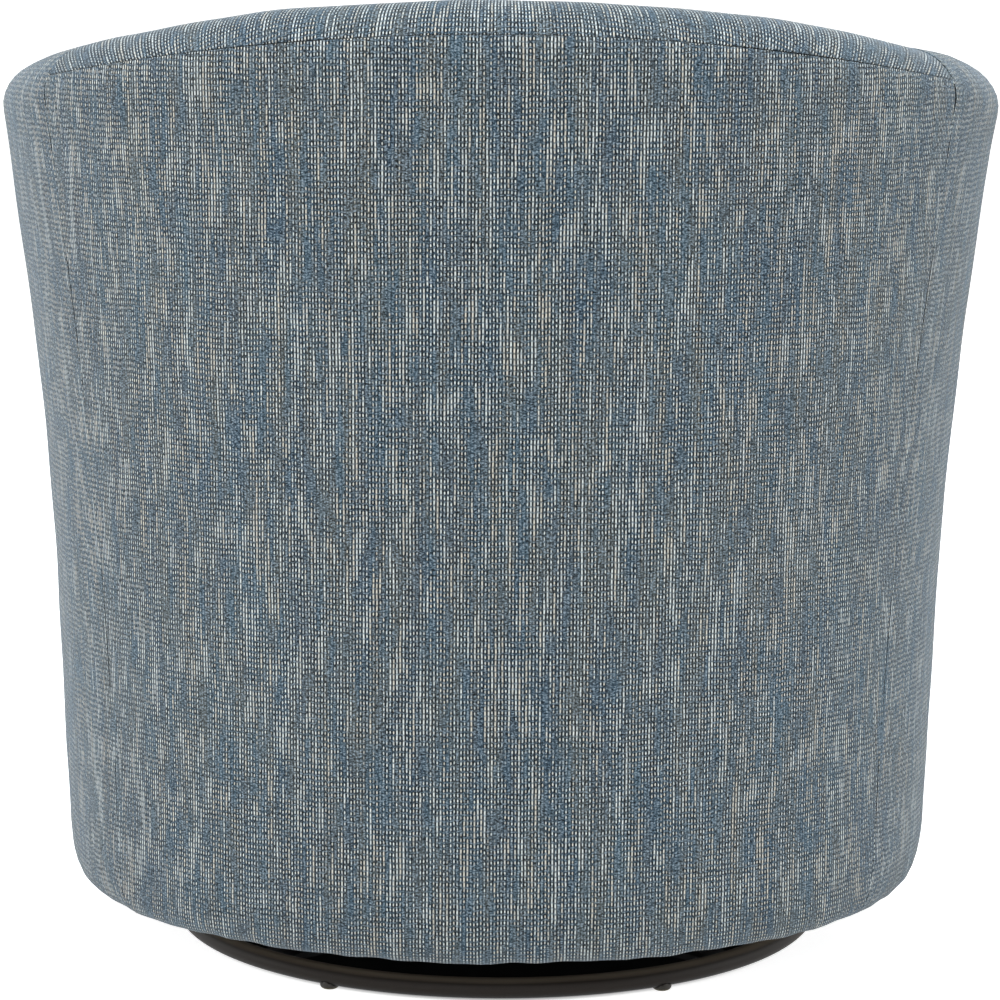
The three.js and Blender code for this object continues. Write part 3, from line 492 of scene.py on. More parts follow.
def crestAt(t):
    share = np.maximum(np.cos(np.clip(t, -1, 1) * quarter), 0) ** tub["backRimPower"]
    back = mixed(tub["sideCrest"], tub["height"], share)
    return mixed(back, tub["frontCrest"], frontShare(t) ** tub["armRimPower"])


# Where the wall ends below the roll, outside and inside
def outerTop(t):
    return crestAt(t) - tub["rollDrop"]


def innerTop(t):
    return crestAt(t) - tub["rollInDrop"]


def flareAt(t):
    return mixed(mixed(tub["sideFlare"], tub["backFlare"], backShare(t)), tub["frontFlare"], frontShare(t) ** 2)


def wallOffset(t, z):
    share = np.clip((z - wallFoot) / (outerTop(t) - wallFoot), 0, 1)
    return flareAt(t) * share ** tub["flarePower"]


def innerOffset(t, z):
    share = (z - tub["deckHeight"]) / (innerTop(t) - tub["deckHeight"])
    crown = mixed(tub["armCrown"], tub["backCrown"], backShare(t))
    inset = mixed(tub["armInset"], tub["backInset"], backShare(t))
    return mixed(-inset, flareAt(t) - tub["rollOut"] - tub["rollIn"], share) - 4 * crown * share * (1 - share)


def seamAt(z):
    share = np.minimum((z - tub["hemHeight"]) / (tub["seamBendHeight"] - tub["hemHeight"]), 1)
    return mixed(tub["seamFootShare"], seamTop, share)


# Length of the foot outline from the back's middle, and how far it has turned there
runPlaces = np.linspace(-2, 2, 4001)
runLengths = lengthAlong(np.stack(pathAt(runPlaces)[:2], -1))
runLengths -= runLengths[len(runLengths) // 2]


def runAt(t):
    return np.interp(t, runPlaces, runLengths)


def turnAt(t):
    return np.arctan2(*pathAt(t)[2:])


def arcLine(centre, middle, radiusX, radiusY, start, end, steps):
    angle = np.linspace(start, end, steps + 1)
    return np.stack([centre + radiusX * np.cos(angle), middle + radiusY * np.sin(angle)], -1)


def hemLine():
    turn = arcLine(-tub["hemRadius"], wallFoot, tub["hemRadius"], tub["hemRise"], -quarter, 0, 24)
    return np.vstack([[[-tub["hemLip"], tub["hemHeight"]]], turn])


def wallLine(t):
    z = np.linspace(wallFoot, outerTop(t), 61)[1:]
    return np.stack([wallOffset(t, z), z], -1)


def outerRoll(t, start, end):
    centre = flareAt(t) - tub["rollOut"]
    return arcLine(centre, outerTop(t), tub["rollOut"], tub["rollDrop"], start, end, 24)


def innerRoll(t):
    centre = flareAt(t) - tub["rollOut"]
    return arcLine(centre, innerTop(t), tub["rollIn"], tub["rollInDrop"], quarter, halfTurn, 24)


def innerLine(t, top):
    z = np.linspace(top, insideFoot, 40)
    return np.stack([innerOffset(t, z), z], -1)


def panelBack(t, top):
    z = np.linspace(top - tub["panelDepth"], frameTop + 0.01, 10)
    wall = np.stack([wallOffset(t, z) - tub["panelDepth"], z], -1)
    inner = tub["woodGap"] - tub["frameInset"]
    foot = [[-tub["panelDepth"], frameTop], [inner, frameTop], [inner, lipTop], [-tub["hemLip"], lipTop]]
    return np.vstack([wall, foot])


# A line redrawn with an even step, and a closer one near its two ends
def evenLine(line, shares):
    length = lengthAlong(line)
    at = shares(length[-1])
    return np.stack([np.interp(at, length, line[:, 0]), np.interp(at, length, line[:, 1])], -1), at


edgeSteps = np.array([0, 0.0003, 0.0007, 0.0012, 0.0018, 0.003])


def evenShares(count):
    def shares(length):
        middle = np.linspace(edgeSteps[-1], length - edgeSteps[-1], count)
        return np.concatenate([edgeSteps[:-1], middle, length - edgeSteps[:-1][::-1]])
    return shares


def gridNormals(grid):
    return unit(np.cross(np.gradient(grid, axis=0), np.gradient(grid, axis=1)))


# How far a cover has rounded down at this distance from its seam
def seamDip(edge):
    return tub["seamRoll"] * (1 - np.sqrt(1 - np.clip(1 - edge / tub["seamRoll"], 0, 1) ** 2))


# Unevenness of the padding: a long and a short swell, each of two waves, in radians per metre
def padSwell(run, up, phase):
    long = np.sin(run * 31 + up * 9 + phase) * np.sin(up * 23 - run * 7 + 1.3)
    short = np.sin(run * 62 - up * 17 + 0.4) * np.sin(up * 41 + run * 21)
    return long + 0.7 * short


# A cover is swept along the wall: outer points on an even grid, hidden ones as the solid has them.
# Side is 0 for the back's, 1 for the arm's at +X and -1 for the other arm's.
def sweepCover(name, side, visibleOf, hiddenOf, weaveOf, count, padding, extra=None):
    stations = side * stationsBetween(seamTop, 2) if side else stationsBetween(-seamTop, seamTop)

    def onWall(rows):
        nominal = np.broadcast_to(stations[:, None], rows.shape[:2])
        seam = seamTop if padding["inside"] else seamAt(rows[..., 1])
        if side:
            t = side * mixed(seam + seamGapShare, 2, (np.abs(nominal) - seamTop) / (2 - seamTop))
        else:
            t = nominal / seamTop * (seam - seamGapShare)
        return t, place(t, rows[..., 0], rows[..., 1])

    rows, lengths = [np.array(part) for part in zip(*(evenLine(visibleOf(t), evenShares(count)) for t in stations))]
    t, grid = onWall(rows)
    hidden = onWall(np.array([hiddenOf(t) for t in stations]))[1]
    normal = gridNormals(grid)
    centre = np.array([0, tub["centreY"], 0.4])
    facing = np.sum(normal * (grid - centre) * [1, 1, 0], -1).mean()
    if (facing < 0) != padding["inside"]:
        normal = -normal
    # distance of each point from the cover's edges
    across = np.linalg.norm(np.diff(grid, axis=0), axis=-1)
    fromStart = np.vstack([np.zeros((1, grid.shape[1])), np.cumsum(across, 0)])
    fromSides = np.minimum(fromStart, fromStart[-1] - fromStart)
    fromEnds = np.minimum(lengths, lengths[:, -1:] - lengths)
    edge = np.minimum(fromSides, fromEnds)
    swell = padSwell(runAt(t), lengths, padding["phase"]) * np.clip(edge / tub["wavesFrom"], 0, 1)
    lift = tub["waves"] * swell - 0.85 * seamDip(edge)
    if extra is not None:
        lift = lift + extra(t, rows[..., 1], lengths)
    grid = grid + normal * lift[..., None]
    points = np.concatenate([grid, hidden], axis=1)
    weave = weaveOf(t, rows, lengths)
    weave = np.concatenate([weave, np.repeat(weave[:, -1:], hidden.shape[1], axis=1)], axis=1)
    faces = loftFaces(points.shape[0], points.shape[1])
    piece = addPiece(name + "_cover", "seat", "tweed", points.reshape(-1, 3), faces, weave.reshape(-1, 2), [name])


def stationsBetween(start, end):
    length = abs(runAt(end) - runAt(start))
    return mixed(start, end, evenShares(int(length / tub["grid"]))(length) / length)


def levelWeave(reference):
    def weaveOf(t, rows, lengths):
        u = runAt(t) + rows[..., 0] * (turnAt(t) - reference)
        return np.stack([u, lengths], -1)
    return weaveOf


# Outside back, from the hem to the seam below the rim
seamAngle = math.asin((tub["rollDrop"] - tub["bandDrop"]) / tub["rollDrop"])


def outsideBackVisible(t):
    return np.vstack([hemLine(), wallLine(t), outerRoll(t, 0, seamAngle)[1:]])


def outsideBackHidden(t):
    top = outerRoll(t, 0, seamAngle)[-1]
    return np.vstack([[[top[0] - tub["panelDepth"], top[1]]], panelBack(t, top[1])])


# The hem is fuller where the back turns into the arms, and a little uneven along its lower edge
hemSwell = {
    "left": 0.0034, "right": 0.0016, "place": 0.70, "reach": 0.26, "height": 0.060, "rise": 0.026,
    "ripple": 0.0006, "rippleRise": 0.012,
}


def hemLift(t, z, lengths):
    near = hump(np.abs(t) - hemSwell["place"], hemSwell["reach"], 1.3)
    low = hump(z - hemSwell["height"], hemSwell["rise"])
    lift = np.where(t > 0, hemSwell["left"], hemSwell["right"]) * eased(near) * low
    run = runAt(t)
    # waves in radians per metre, which never repeat together
    ripple = np.sin(run * 83) * np.sin(run * 37 + 1.1) + 0.6 * np.sin(run * 171 + 0.7)
    return lift + hemSwell["ripple"] * ripple * np.clip(1 - (z - tub["hemHeight"]) / hemSwell["rippleRise"], 0, 1)


sweepCover("outside_back", 0, outsideBackVisible, outsideBackHidden, levelWeave(0), 96,
           {"fill": 0.45, "phase": 0.0, "inside": False}, hemLift)
print("outside back is made")

# Inside back: its cover comes over the rim and shows behind as the band
band = {
    "lean": 1.75,  # tangent of the weave's lean at the band's ends
    "leanPower": 2.3,
    "leanReach": 0.075,
}
bandPlaces = np.linspace(0, seamTop, 400)
bandRim = runAt(bandPlaces) + turnAt(bandPlaces) * flareAt(bandPlaces)
bandLean = np.arctan(band["lean"] * (bandPlaces / seamTop) ** band["leanPower"])
bandAcross = summed(np.cos(bandLean[1:]) * np.diff(bandRim))
bandAlong = summed(np.sin(bandLean[1:]) * np.diff(bandRim))


def bandWeave(t, rows, lengths):
    reach = np.abs(t)
    lean = np.interp(reach, bandPlaces, bandLean)
    run = band["leanReach"] * np.tanh(lengths / band["leanReach"])
    u = np.sign(t) * (np.interp(reach, bandPlaces, bandAcross) - np.sin(lean) * run)
    v = np.interp(reach, bandPlaces, bandAlong) + lengths - (1 - np.cos(lean)) * run
    return np.stack([u, v + 0.9], -1)


def insideBackVisible(t):
    start = math.asin((tub["rollDrop"] - tub["bandDrop"] + gap) / tub["rollDrop"])
    return np.vstack([outerRoll(t, start, quarter), innerRoll(t)[1:], innerLine(t, innerTop(t))[1:]])


hoopBottom = tub["bandDrop"] + tub["woodGap"] + 2 * gap + tub["hoopThickness"]
hoopInside = hoopInset + tub["hoopWidth"] + tub["woodGap"]


# The inside covers' hidden face, against the posts
def padBack(t, top):
    z = np.linspace(insideFoot, top, 8)
    return np.stack([wallOffset(t, z) - padInset, z], -1)


def insideBackHidden(t):
    under = crestAt(t) - hoopBottom - gap
    inner = flareAt(t) - hoopInside
    return np.vstack([padBack(t, under), [[inner, under], [inner, crestAt(t) - tub["bandDrop"] + gap]]])


# Small swells of the rim: where, how far along, and how high, and how far down from the crest they reach
rimSwells = [(0.27, 0.13, 0.0014), (-0.38, 0.18, 0.0017)]
rimSwellDrop = 0.030


def rimLift(t, z, lengths):
    lift = 0
    for middle, reach, height in rimSwells:
        lift = lift + height * eased(hump(t - middle, reach))
    return lift * hump(z - crestAt(t), rimSwellDrop, 1.3)


sweepCover("inside_back", 0, insideBackVisible, insideBackHidden, bandWeave, 74,
           {"fill": 0.6, "phase": 1.0, "inside": True}, rimLift)
print("inside back is made")


# Arms; side is 1 for the one at +X and -1 for the other
def armVisible(t):
    return np.vstack([hemLine(), wallLine(t), outerRoll(t, 0, quarter)[1:], innerRoll(t)[1:]])


def armHidden(t):
    under = crestAt(t) - tub["bandDrop"] + gap
    inner = flareAt(t) - hoopInside
    hook = [[inner, innerTop(t)], [inner, under], [flareAt(t) - hoopInset + gap, under]]
    return np.vstack([hook, panelBack(t, outerTop(t))])


# How much fuller each arm's roll is beside the band, and both arms are low down
fullness = {
    "left": 0.0, "right": 0.0024, "past": 0.16, "reach": 0.24, "belowCrest": 0.014, "rise": 0.040,
    "low": 0.0020, "lowTop": 0.42, "topFade": 0.15, "lowFoot": 0.085, "footFade": 0.07, "seamFade": 0.14,
}


def buildOutsideArm(end, side):
    def fuller(t, z, lengths):
        near = hump(np.abs(t) - seamTop - fullness["past"], fullness["reach"])
        high = hump(z - crestAt(t) + fullness["belowCrest"], fullness["rise"], 1.3)
        low = np.clip((fullness["lowTop"] - z) / fullness["topFade"], 0, 1)
        low = low * np.clip((z - fullness["lowFoot"]) / fullness["footFade"], 0, 1)
        low = low * np.clip((np.abs(t) - seamAt(z)) / fullness["seamFade"], 0, 1)
        return fullness[end] * eased(near) * high + fullness["low"] * low + hemLift(t, z, lengths)

    sweepCover(f"outside_arm_{end}", side, armVisible, armHidden, levelWeave(side * quarter), 110,
               {"fill": 0.5, "phase": 2.0 + side, "inside": False}, fuller)


def insideArmVisible(t):
    return innerLine(t, innerTop(t) - gap)


def insideArmHidden(t):
    return padBack(t, innerTop(t) - gap)


# Arm fronts: the wall's whole outline, pressed forward and rounded over at its edge
armFront = {
    "depth": 0.022, "edge": 0.014, "edgeSteps": 8, "crown": 0.0035, "crownReach": 0.026, "crownSteps": 4,
    "spineRise": 0.034, "spineDrop": 0.044, "spineBend": 0.09,
}


def insetLine(line, distance):
    ahead = np.roll(line, -1, axis=0)
    direction = unit(ahead - np.roll(line, 1, axis=0))
    area = np.sum(line[:, 0] * ahead[:, 1] - ahead[:, 0] * line[:, 1]) / 2
    return line + np.sign(area) * distance * np.stack([-direction[:, 1], direction[:, 0]], -1)


def closedEvenLine(line, count):
    closed = np.vstack([line, line[:1]])
    return evenLine(closed, lambda length: np.linspace(0, length, count + 1)[:-1])[0]


# Rings of an edge that turns over a quarter round: how far in, and how far forward
def quarterRound(radius, steps):
    angle = quarter * np.arange(steps + 1) / steps
    return np.stack([radius * (1 - np.cos(angle)), radius * np.sin(angle)], -1)


# Every point of the outline moves towards the middle line of the arm, so no part of it crosses itself
def armSpine(t):
    top = crestAt(t) - armFront["spineDrop"]
    z = np.linspace(tub["hemHeight"] + armFront["spineRise"], top, 400)
    inner = np.where(z < tub["deckHeight"], -tub["armInset"], innerOffset(t, z))
    middle = (wallOffset(t, z) + inner) / 2
    share = np.clip((z - top) / armFront["spineBend"] + 1, 0, 1)
    return np.stack([mixed(middle, flareAt(t) - tub["rollOut"], eased(share)), z], -1)


def drawnIn(line, spine, distance):
    away = np.linalg.norm(line[:, None] - spine[None], axis=-1)
    nearest = spine[np.argmin(away, axis=1)]
    return line + (nearest - line) * (distance / away.min(axis=1))[:, None]


def buildArmFront(end, side):
    t = 2.0
    outline = closedEvenLine(np.vstack([
        hemLine()[1:], wallLine(t), outerRoll(t, 0, quarter)[1:], innerRoll(t)[1:],
        innerLine(t, innerTop(t))[1:], [[-tub["armInset"], tub["hemHeight"]]],
    ]), 220)
    spine = armSpine(t)
    endX = float(pathAt(t)[0])
    face = armEndY - armFront["depth"]
    # each level: how far in, its y, and how far in it lies on the flat cloth
    edge = armFront["edge"]
    onCloth = edge * (1 - quarter)
    levels = [(0.0, armEndY - gap, onCloth - armFront["depth"] + edge)]
    for i, (inset, forward) in enumerate(quarterRound(edge, armFront["edgeSteps"])):
        levels.append((inset, face + edge - forward, onCloth + edge * quarter * i / armFront["edgeSteps"]))
    for share in np.arange(1, armFront["crownSteps"] + 1) / armFront["crownSteps"]:
        inset = mixed(edge, armFront["crownReach"], share)
        levels.append((inset, face - armFront["crown"] * math.sin(share * quarter), inset))
    points, weave = [], []
    for inset, y, drawn in levels:
        x, z = drawnIn(outline, spine, inset).T
        points.append(np.column_stack([side * (endX + x), np.full(len(x), y), z]))
        weave.append(drawnIn(outline, spine, drawn) * [side, 1] + [side * 0.3, 0])
    name = f"arm_front_{end}"
    piece = addPiece(name + "_cover", "seat", "tweed", np.concatenate(points),
                     loftFaces(len(levels), len(outline)), np.concatenate(weave), [name])


for end, side in (("left", 1), ("right", -1)):
    buildOutsideArm(end, side)
    sweepCover(f"inside_arm_{end}", side, insideArmVisible, insideArmHidden, levelWeave(side * quarter), 44,
               {"fill": 0.6, "phase": 3.0 + side, "inside": True})
    buildArmFront(end, side)
print("arms are made")

# Apron below the cushion, bowed forward between the arms' ends
apron = {"depth": 0.014, "bow": 0.013, "hemRadius": 0.023}


def buildApron():
    halfSpan = float(pathAt(2)[0]) - tub["armInset"] - gap
    back = armEndY - gap
    radius = apron["hemRadius"]
    stations = np.concatenate([[-1, -0.997], np.linspace(-0.985, 0.985, 61), [0.997, 1]])
    hem = arcLine(radius, tub["hemHeight"] + radius, radius, radius, -quarter, -halfTurn, 12)
    corner = apron["depth"] / 2
    top = arcLine(corner, tub["deckHeight"] - corner, corner, corner, halfTurn, quarter, 10)
    face = np.stack([np.zeros(30), np.linspace(hem[-1][1], top[0][1], 32)[1:-1]], -1)
    visible = np.vstack([hem, face, top])
    length = lengthAlong(visible)
    hidden = [(back, tub["deckHeight"]), (back, lipTop), (back + radius, lipTop), (back + radius, tub["hemHeight"])]
    points, weave = [], []
    for share in stations:
        x = share * halfSpan
        dip = seamDip((1 - abs(share)) * halfSpan) * 0.8
        front = back - apron["depth"] - apron["bow"] * (1 - share ** 2) + dip
        points += [(x, front + y, z) for y, z in visible] + [(x, y, z) for y, z in hidden]
        weave += [(x, at) for at in length] + [(x, length[-1])] * len(hidden)
    faces = loftFaces(len(stations), len(visible) + len(hidden))
    piece = addPiece("front_apron_cover", "seat", "tweed", points, faces, weave, ["front_apron"])


buildApron()
print("apron is made")

# Seat cushion: a boxed pad, blown up by a short cloth run and then seamed
cushion = {
    "height": 0.126, "crown": 0.024, "clearance": 0.002, "edge": 0.014, "drawIn": 0.004,
    "frontReach": 0.042, "centreY": -0.080, "start": 0.003,  # it starts smaller by this much
    "steps": 260, "voxel": 0.007, "pressure": 4.0, "frames": 20, "most": 0.009,
    "seamDepth": 0.0022, "seamReach": 0.0030,
    "spare": 0.001,  # between the cushion and the room it has
    "upright": 0.62, "sideways": 0.7,  # a face's lean from which its weave is laid upright, and along the side
}


def cushionOutline(z):
    t = np.linspace(-2, 2, 241)
    sides = place(t, innerOffset(t, z) - cushion["clearance"], z)[:, :2]
    corner = sides[-1]
    turn = -np.linspace(0, 2, 61)[1:-1] * quarter
    squareness = 2 / 3
    across = np.sign(np.cos(turn)) * np.abs(np.cos(turn)) ** squareness
    forward = np.abs(np.sin(turn)) ** squareness
    front = np.stack([corner[0] * across, corner[1] - cushion["frontReach"] * forward], -1)
    return closedEvenLine(np.vstack([sides, front]), cushion["steps"])


def cushionStart():
    edge, height = cushion["edge"], cushion["height"]
    top = height + edge * 0.2
    levels = [
        (edge, 0.001), (edge * 0.3, edge * 0.3), (0, edge), (cushion["drawIn"], height / 2),
        (0, height - edge), (edge * 0.3, height - edge * 0.3), (edge, top),
    ]
    rings = []
    for inset, rise in levels:
        ring = insetLine(cushionOutline(insideFoot + rise), inset + cushion["start"])
        rings.append(np.column_stack([ring, np.full(len(ring), insideFoot + rise)]))
    rim = rings[-1]
    for share in np.linspace(0.92, 0.06, 12):
        rise = top + (cushion["crown"] - cushion["start"]) * (1 - share ** 2) ** 0.8
        y = mixed(cushion["centreY"], rim[:, 1], share)
        rings.append(np.column_stack([rim[:, 0] * share, y, np.full(len(rim), insideFoot + rise)]))
    return np.concatenate(rings), loftFaces(len(rings), len(rim))


def applyModifier(piece, kind, **settings):
    modifier = piece.modifiers.new(kind, kind)
    for label, value in settings.items():
        setattr(modifier, label, value)
    bpy.context.view_layer.objects.active = piece
    bpy.ops.object.modifier_apply(modifier=modifier.name)


def blowUp(piece):
    scene = bpy.context.scene
    applyModifier(piece, "REMESH", mode="VOXEL", voxel_size=cushion["voxel"])
    before = pointsOf(piece.data)
    cloth = piece.modifiers.new("cloth", "CLOTH")
    cloth.settings.use_pressure = True
    cloth.settings.uniform_pressure_force = cushion["pressure"]
    cloth.settings.effector_weights.gravity = 0
    cloth.point_cache.frame_start, cloth.point_cache.frame_end = 1, cushion["frames"]
    for number in range(1, cushion["frames"] + 1):
        scene.frame_set(number)
    move = pointsOf(piece.evaluated_get(bpy.context.evaluated_depsgraph_get()).to_mesh()) - before
    piece.modifiers.remove(cloth)
    scene.frame_set(1)
    far = np.linalg.norm(move, axis=1, keepdims=True)
    movePoints(piece.data, before + move * np.minimum(1, cushion["most"] / np.maximum(far, 1e-9)))


# Fills the opening between the arms, as the solid does, and stays on the deck
def fitCushion(mesh):
    points = pointsOf(mesh)
    low, high = [np.array(corner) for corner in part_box("seat_cushion")]
    low, high = low + cushion["spare"], high - cushion["spare"]
    own, reach = points.min(0), np.ptp(points, 0)
    points[:, :2] = (low + (points - own) / reach * (high - low))[:, :2]
    points[:, 2] = np.maximum(points[:, 2], insideFoot)
    movePoints(mesh, points)


# The boxing's two seams, pressed in all round
def pressSeams(mesh):
    points = pointsOf(mesh)
    flat = np.array([v.normal for v in mesh.vertices]) * [1, 1, 0]
    side = np.linalg.norm(flat, axis=1, keepdims=True)
    for height in (cushion["edge"] * 0.75, cushion["height"] - cushion["edge"] * 0.3):
        away = (points[:, 2] - insideFoot - height) / cushion["seamReach"]
        depth = cushion["seamDepth"] * np.exp(-away ** 2) * np.clip(side[:, 0] * 2 - 0.6, 0, 1)
        points -= flat / np.maximum(side, 1e-6) * depth[:, None]
    movePoints(mesh, points)


# The weave runs front to back over the top and straight up the boxing
def layWeave(mesh):
    layer = mesh.uv_layers.new(name="weave")
    for face in mesh.polygons:
        upright = abs(face.normal.z) < cushion["upright"]
        sideways = abs(face.normal.x) > cushion["sideways"]
        turn = round(math.atan2(face.normal.x, -face.normal.y))
        for corner in face.loop_indices:
            x, y, z = mesh.vertices[mesh.loops[corner].vertex_index].co
            layer.data[corner].uv = ((y if sideways else x) + turn, z + 0.5) if upright else (x, y)


def buildCushion():
    points, faces = cushionStart()
    piece = addPiece("seat_cushion_pad", None, "tweed", points, faces, replaced=["seat_cushion"], sharpAngle=180)
    blowUp(piece)
    work = bmesh.new()
    work.from_mesh(piece.data)
    bmesh.ops.smooth_vert(work, verts=work.verts, factor=0.5, use_axis_x=True, use_axis_y=True, use_axis_z=True)
    work.to_mesh(piece.data)
    work.free()
    applyModifier(piece, "SUBSURF", levels=1, render_levels=1)
    fitCushion(piece.data)
    pressSeams(piece.data)
    layWeave(piece.data)
    piece.data.shade_smooth()
    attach(piece, "seat")


buildCushion()
print("seat cushion is made")

# Deck under the cushion and dust cover under the chair
lining = {
    "deckThickness": 0.0117, "deckEdge": 0.003, "dustThickness": 0.0012, "dustHole": 0.195, "dustInset": 0.047,
    "dustSag": 0.0006, "dustRings": 10,
}


def footOutline(inset, frontY, count):
    t = np.linspace(-2, 2, 401)
    points = place(t, -inset, 0)[:, :2]
    points[:, 1] = np.maximum(points[:, 1], frontY)
    return closedEvenLine(points, count)


def buildDeck():
    outline = footOutline(padInset, armEndY + tub["woodGap"], 240)
    top = tub["deckHeight"]
    edge = lining["deckEdge"]
    levels = [(0.0, top - lining["deckThickness"])]
    levels += [(inset, top - edge + forward) for inset, forward in quarterRound(edge, 4)]
    rings = [np.column_stack([insetLine(outline, inset), np.full(len(outline), z)]) for inset, z in levels]
    piece = addPiece("deck_pad", "seat", "deck_cloth", np.concatenate(rings), loftFaces(len(rings), len(outline)),
                     replaced=["deck"])


def buildDustCover():
    count = 200
    outer = footOutline(lining["dustInset"], armEndY + tub["hemRadius"] + gap, count)
    turn = np.arctan2(outer[:, 1], outer[:, 0])
    inner = lining["dustHole"] * np.stack([np.cos(turn), np.sin(turn)], -1)
    over = []
    for share in np.linspace(0, 1, lining["dustRings"]):
        z = lipTop - lining["dustSag"] * 4 * share * (1 - share)
        over.append(np.column_stack([mixed(outer, inner, share), np.full(count, z)]))
    under = [ring - [0, 0, lining["dustThickness"]] for ring in over[::-1]]
    faces = loftFaces(len(over + under), count, loop=True)
    piece = addPiece("dust_cover_sheet", "seat", "dust_cloth", np.concatenate(over + under), faces,
                     replaced=["dust_cover"])


buildDeck()
buildDustCover()
print("deck and dust cover are made")

# Ring base and its glides
ring = {"radius": 0.257, "tube": 0.008, "height": 0.011, "sides": 36, "steps": 240}
glides = {"count": 6, "radius": 0.0075, "rise": 0.007, "flat": 0.004, "steps": 40}


def buildRing():
    turn, angle = aroundCircle(ring["steps"])[:, None], aroundCircle(ring["sides"])
    reach = ring["radius"] + ring["tube"] * np.cos(angle)
    z = np.broadcast_to(ring["height"] + ring["tube"] * np.sin(angle), (ring["steps"], ring["sides"]))
    points = np.stack([reach * np.cos(turn), reach * np.sin(turn), z], -1).reshape(-1, 3)
    faces = loftFaces(ring["steps"], ring["sides"], loop=True)
    addPiece("ring_tube", "base", "bronze_paint", points, faces, replaced=["base_ring"])


# A domed glide, cupped at its top to the ring's tube
def buildGlide(number):
    turn = quarter + (number - 0.5) * fullTurn / glides["count"]
    angle = aroundCircle(glides["steps"])
    flat, radius, rise = glides["flat"], glides["radius"], glides["rise"]
    bend = np.linspace(0, quarter, 9)[1:]
    profile = [(flat * 0.5, 0.0), (flat, 0.0)]
    profile += [(mixed(flat, radius, math.sin(a)), rise * 0.5 * (1 - math.cos(a))) for a in bend]
    profile += [(radius * 0.97, rise * 0.75), (radius * 0.9, rise), (radius * 0.6, rise), (radius * 0.3, rise)]
    rings = []
    for reach, z in profile:  # each ring is cut off where it would meet the tube
        x = ring["radius"] * math.cos(turn) + reach * np.cos(angle)
        y = ring["radius"] * math.sin(turn) + reach * np.sin(angle)
        out = np.abs(np.hypot(x, y) - ring["radius"])
        under = ring["height"] - np.sqrt(np.maximum(ring["tube"] ** 2 - out ** 2, 0)) - gap
        rings.append(np.column_stack([x, y, np.minimum(z, under)]))
    addPiece(f"glide_{number}_dome", "base", "nylon", np.concatenate(rings), loftFaces(len(rings), len(angle)),
             replaced=[f"glide_{number}"], sharpAngle=60)


buildRing()
for number in range(1, glides["count"] + 1):
    buildGlide(number)
print("ring base is made")

# Springs: each is one wire swept along its own line
coil = {
    "x": 0.062, "y": 0.094, "radius": 0.0175, "wire": 0.0025, "curls": 5.5, "bottom": 0.0338, "top": 0.1257,
    "steps": 22, "sides": 12,
    "closed": 0.7, "closedPitch": 0.25,  # the curls that lie closed at each end, and their share of the pitch
}
zigzag = {
    "places": (-0.130, 0.0, 0.130), "wire": 0.0018, "swing": 0.0201, "pitch": 0.052, "arch": 0.004, "steps": 20,
    "sides": 10,
}


def wirePiece(name, body, line, spring):
    tangent = unit(np.gradient(line, axis=0))
    side = np.cross(tangent[0], [0, 0, 1.0])
    radius, angle = spring["wire"], aroundCircle(spring["sides"])
    last = len(line) - 1
    sections = [(0, 0.55), (0, 0.88)] + [(i, 1.0) for i in range(last + 1)] + [(last, 0.88), (last, 0.55)]
    frames, points = [], []
    for direction in tangent:
        side = unit(side - direction * side.dot(direction))
        frames.append((side, np.cross(direction, side)))
    for i, size in sections:  # the two ends are rounded over
        a, b = frames[i]
        inward = (1 - size) * radius * (0.8 if i == 0 else -0.8)
        centre = line[i] - tangent[i] * inward
        points.append(centre + radius * size * (np.outer(np.cos(angle), a) + np.outer(np.sin(angle), b)))
    return addPiece(name + "_wire", body, "spring_steel", np.concatenate(points),
                    loftFaces(len(sections), len(angle)), replaced=[name])


def buildCoils():
    count = int(coil["curls"] * coil["steps"])
    share = np.linspace(0, 1, count + 1)
    turn = share * coil["curls"] * fullTurn
    # the pitch grows from the closed end, holds through the middle and shrinks again
    opening = np.clip(np.minimum(share, 1 - share) * coil["curls"] / coil["closed"], 0, 1)
    pitch = mixed(coil["closedPitch"], 1, opening)
    rise = summed((pitch[1:] + pitch[:-1]) / 2)
    low, high = coil["bottom"] + coil["wire"], coil["top"] - coil["wire"]
    z = mixed(low, high, rise / rise[-1])
    for number, (sideX, sideY) in enumerate([(-1, -1), (1, -1), (-1, 1), (1, 1)], 1):
        x, y = sideX * coil["x"], sideY * coil["y"]
        line = np.column_stack([x + coil["radius"] * np.cos(turn), y + coil["radius"] * np.sin(turn), z])
        piece = wirePiece(f"coil_spring_{number}", None, line, coil)
        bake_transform(piece)


def buildZigzags():
    for number, x in enumerate(zigzag["places"], 1):
        name = f"flat_spring_{number}"
        low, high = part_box(name)
        front, rear = low.y, high.y
        leg = 2 * zigzag["wire"]
        swings = round((rear - front) / zigzag["pitch"])
        share = np.linspace(0, 1, swings * zigzag["steps"] + 1)
        top = high.z - zigzag["wire"]
        z = top - zigzag["arch"] * (1 - np.sin(share * halfTurn))
        sway = x + zigzag["swing"] * np.sin(share * swings * fullTurn)
        line = np.column_stack([sway, mixed(front + leg, rear - leg, share), z])
        wirePiece(name, "seat", np.vstack([[[x, front, z[0]]], line, [[x, rear, z[-1]]]]), zigzag)


buildCoils()
buildZigzags()
print("springs are made")

# Finishes of the nodes that stay as they are
keptNodes = {  # by how their names begin
    "black_steel": ("base_spider", "cradle", "rocker_frame"),
    "zinc_steel": ("lower_race", "upper_race", "ball_cage", "king_", "pivot_bolt_", "pivot_nut_"),
    "nylon": ("pivot_bushing_",),
    "plywood": ("base_frame", "seat_hoop", "top_hoop", "front_rail"),
    "hardwood": ("cross_board_", "bearer_", "post_"),
}
smoothing = {"splitAngle": math.radians(32), "weldDistance": 0.00001}


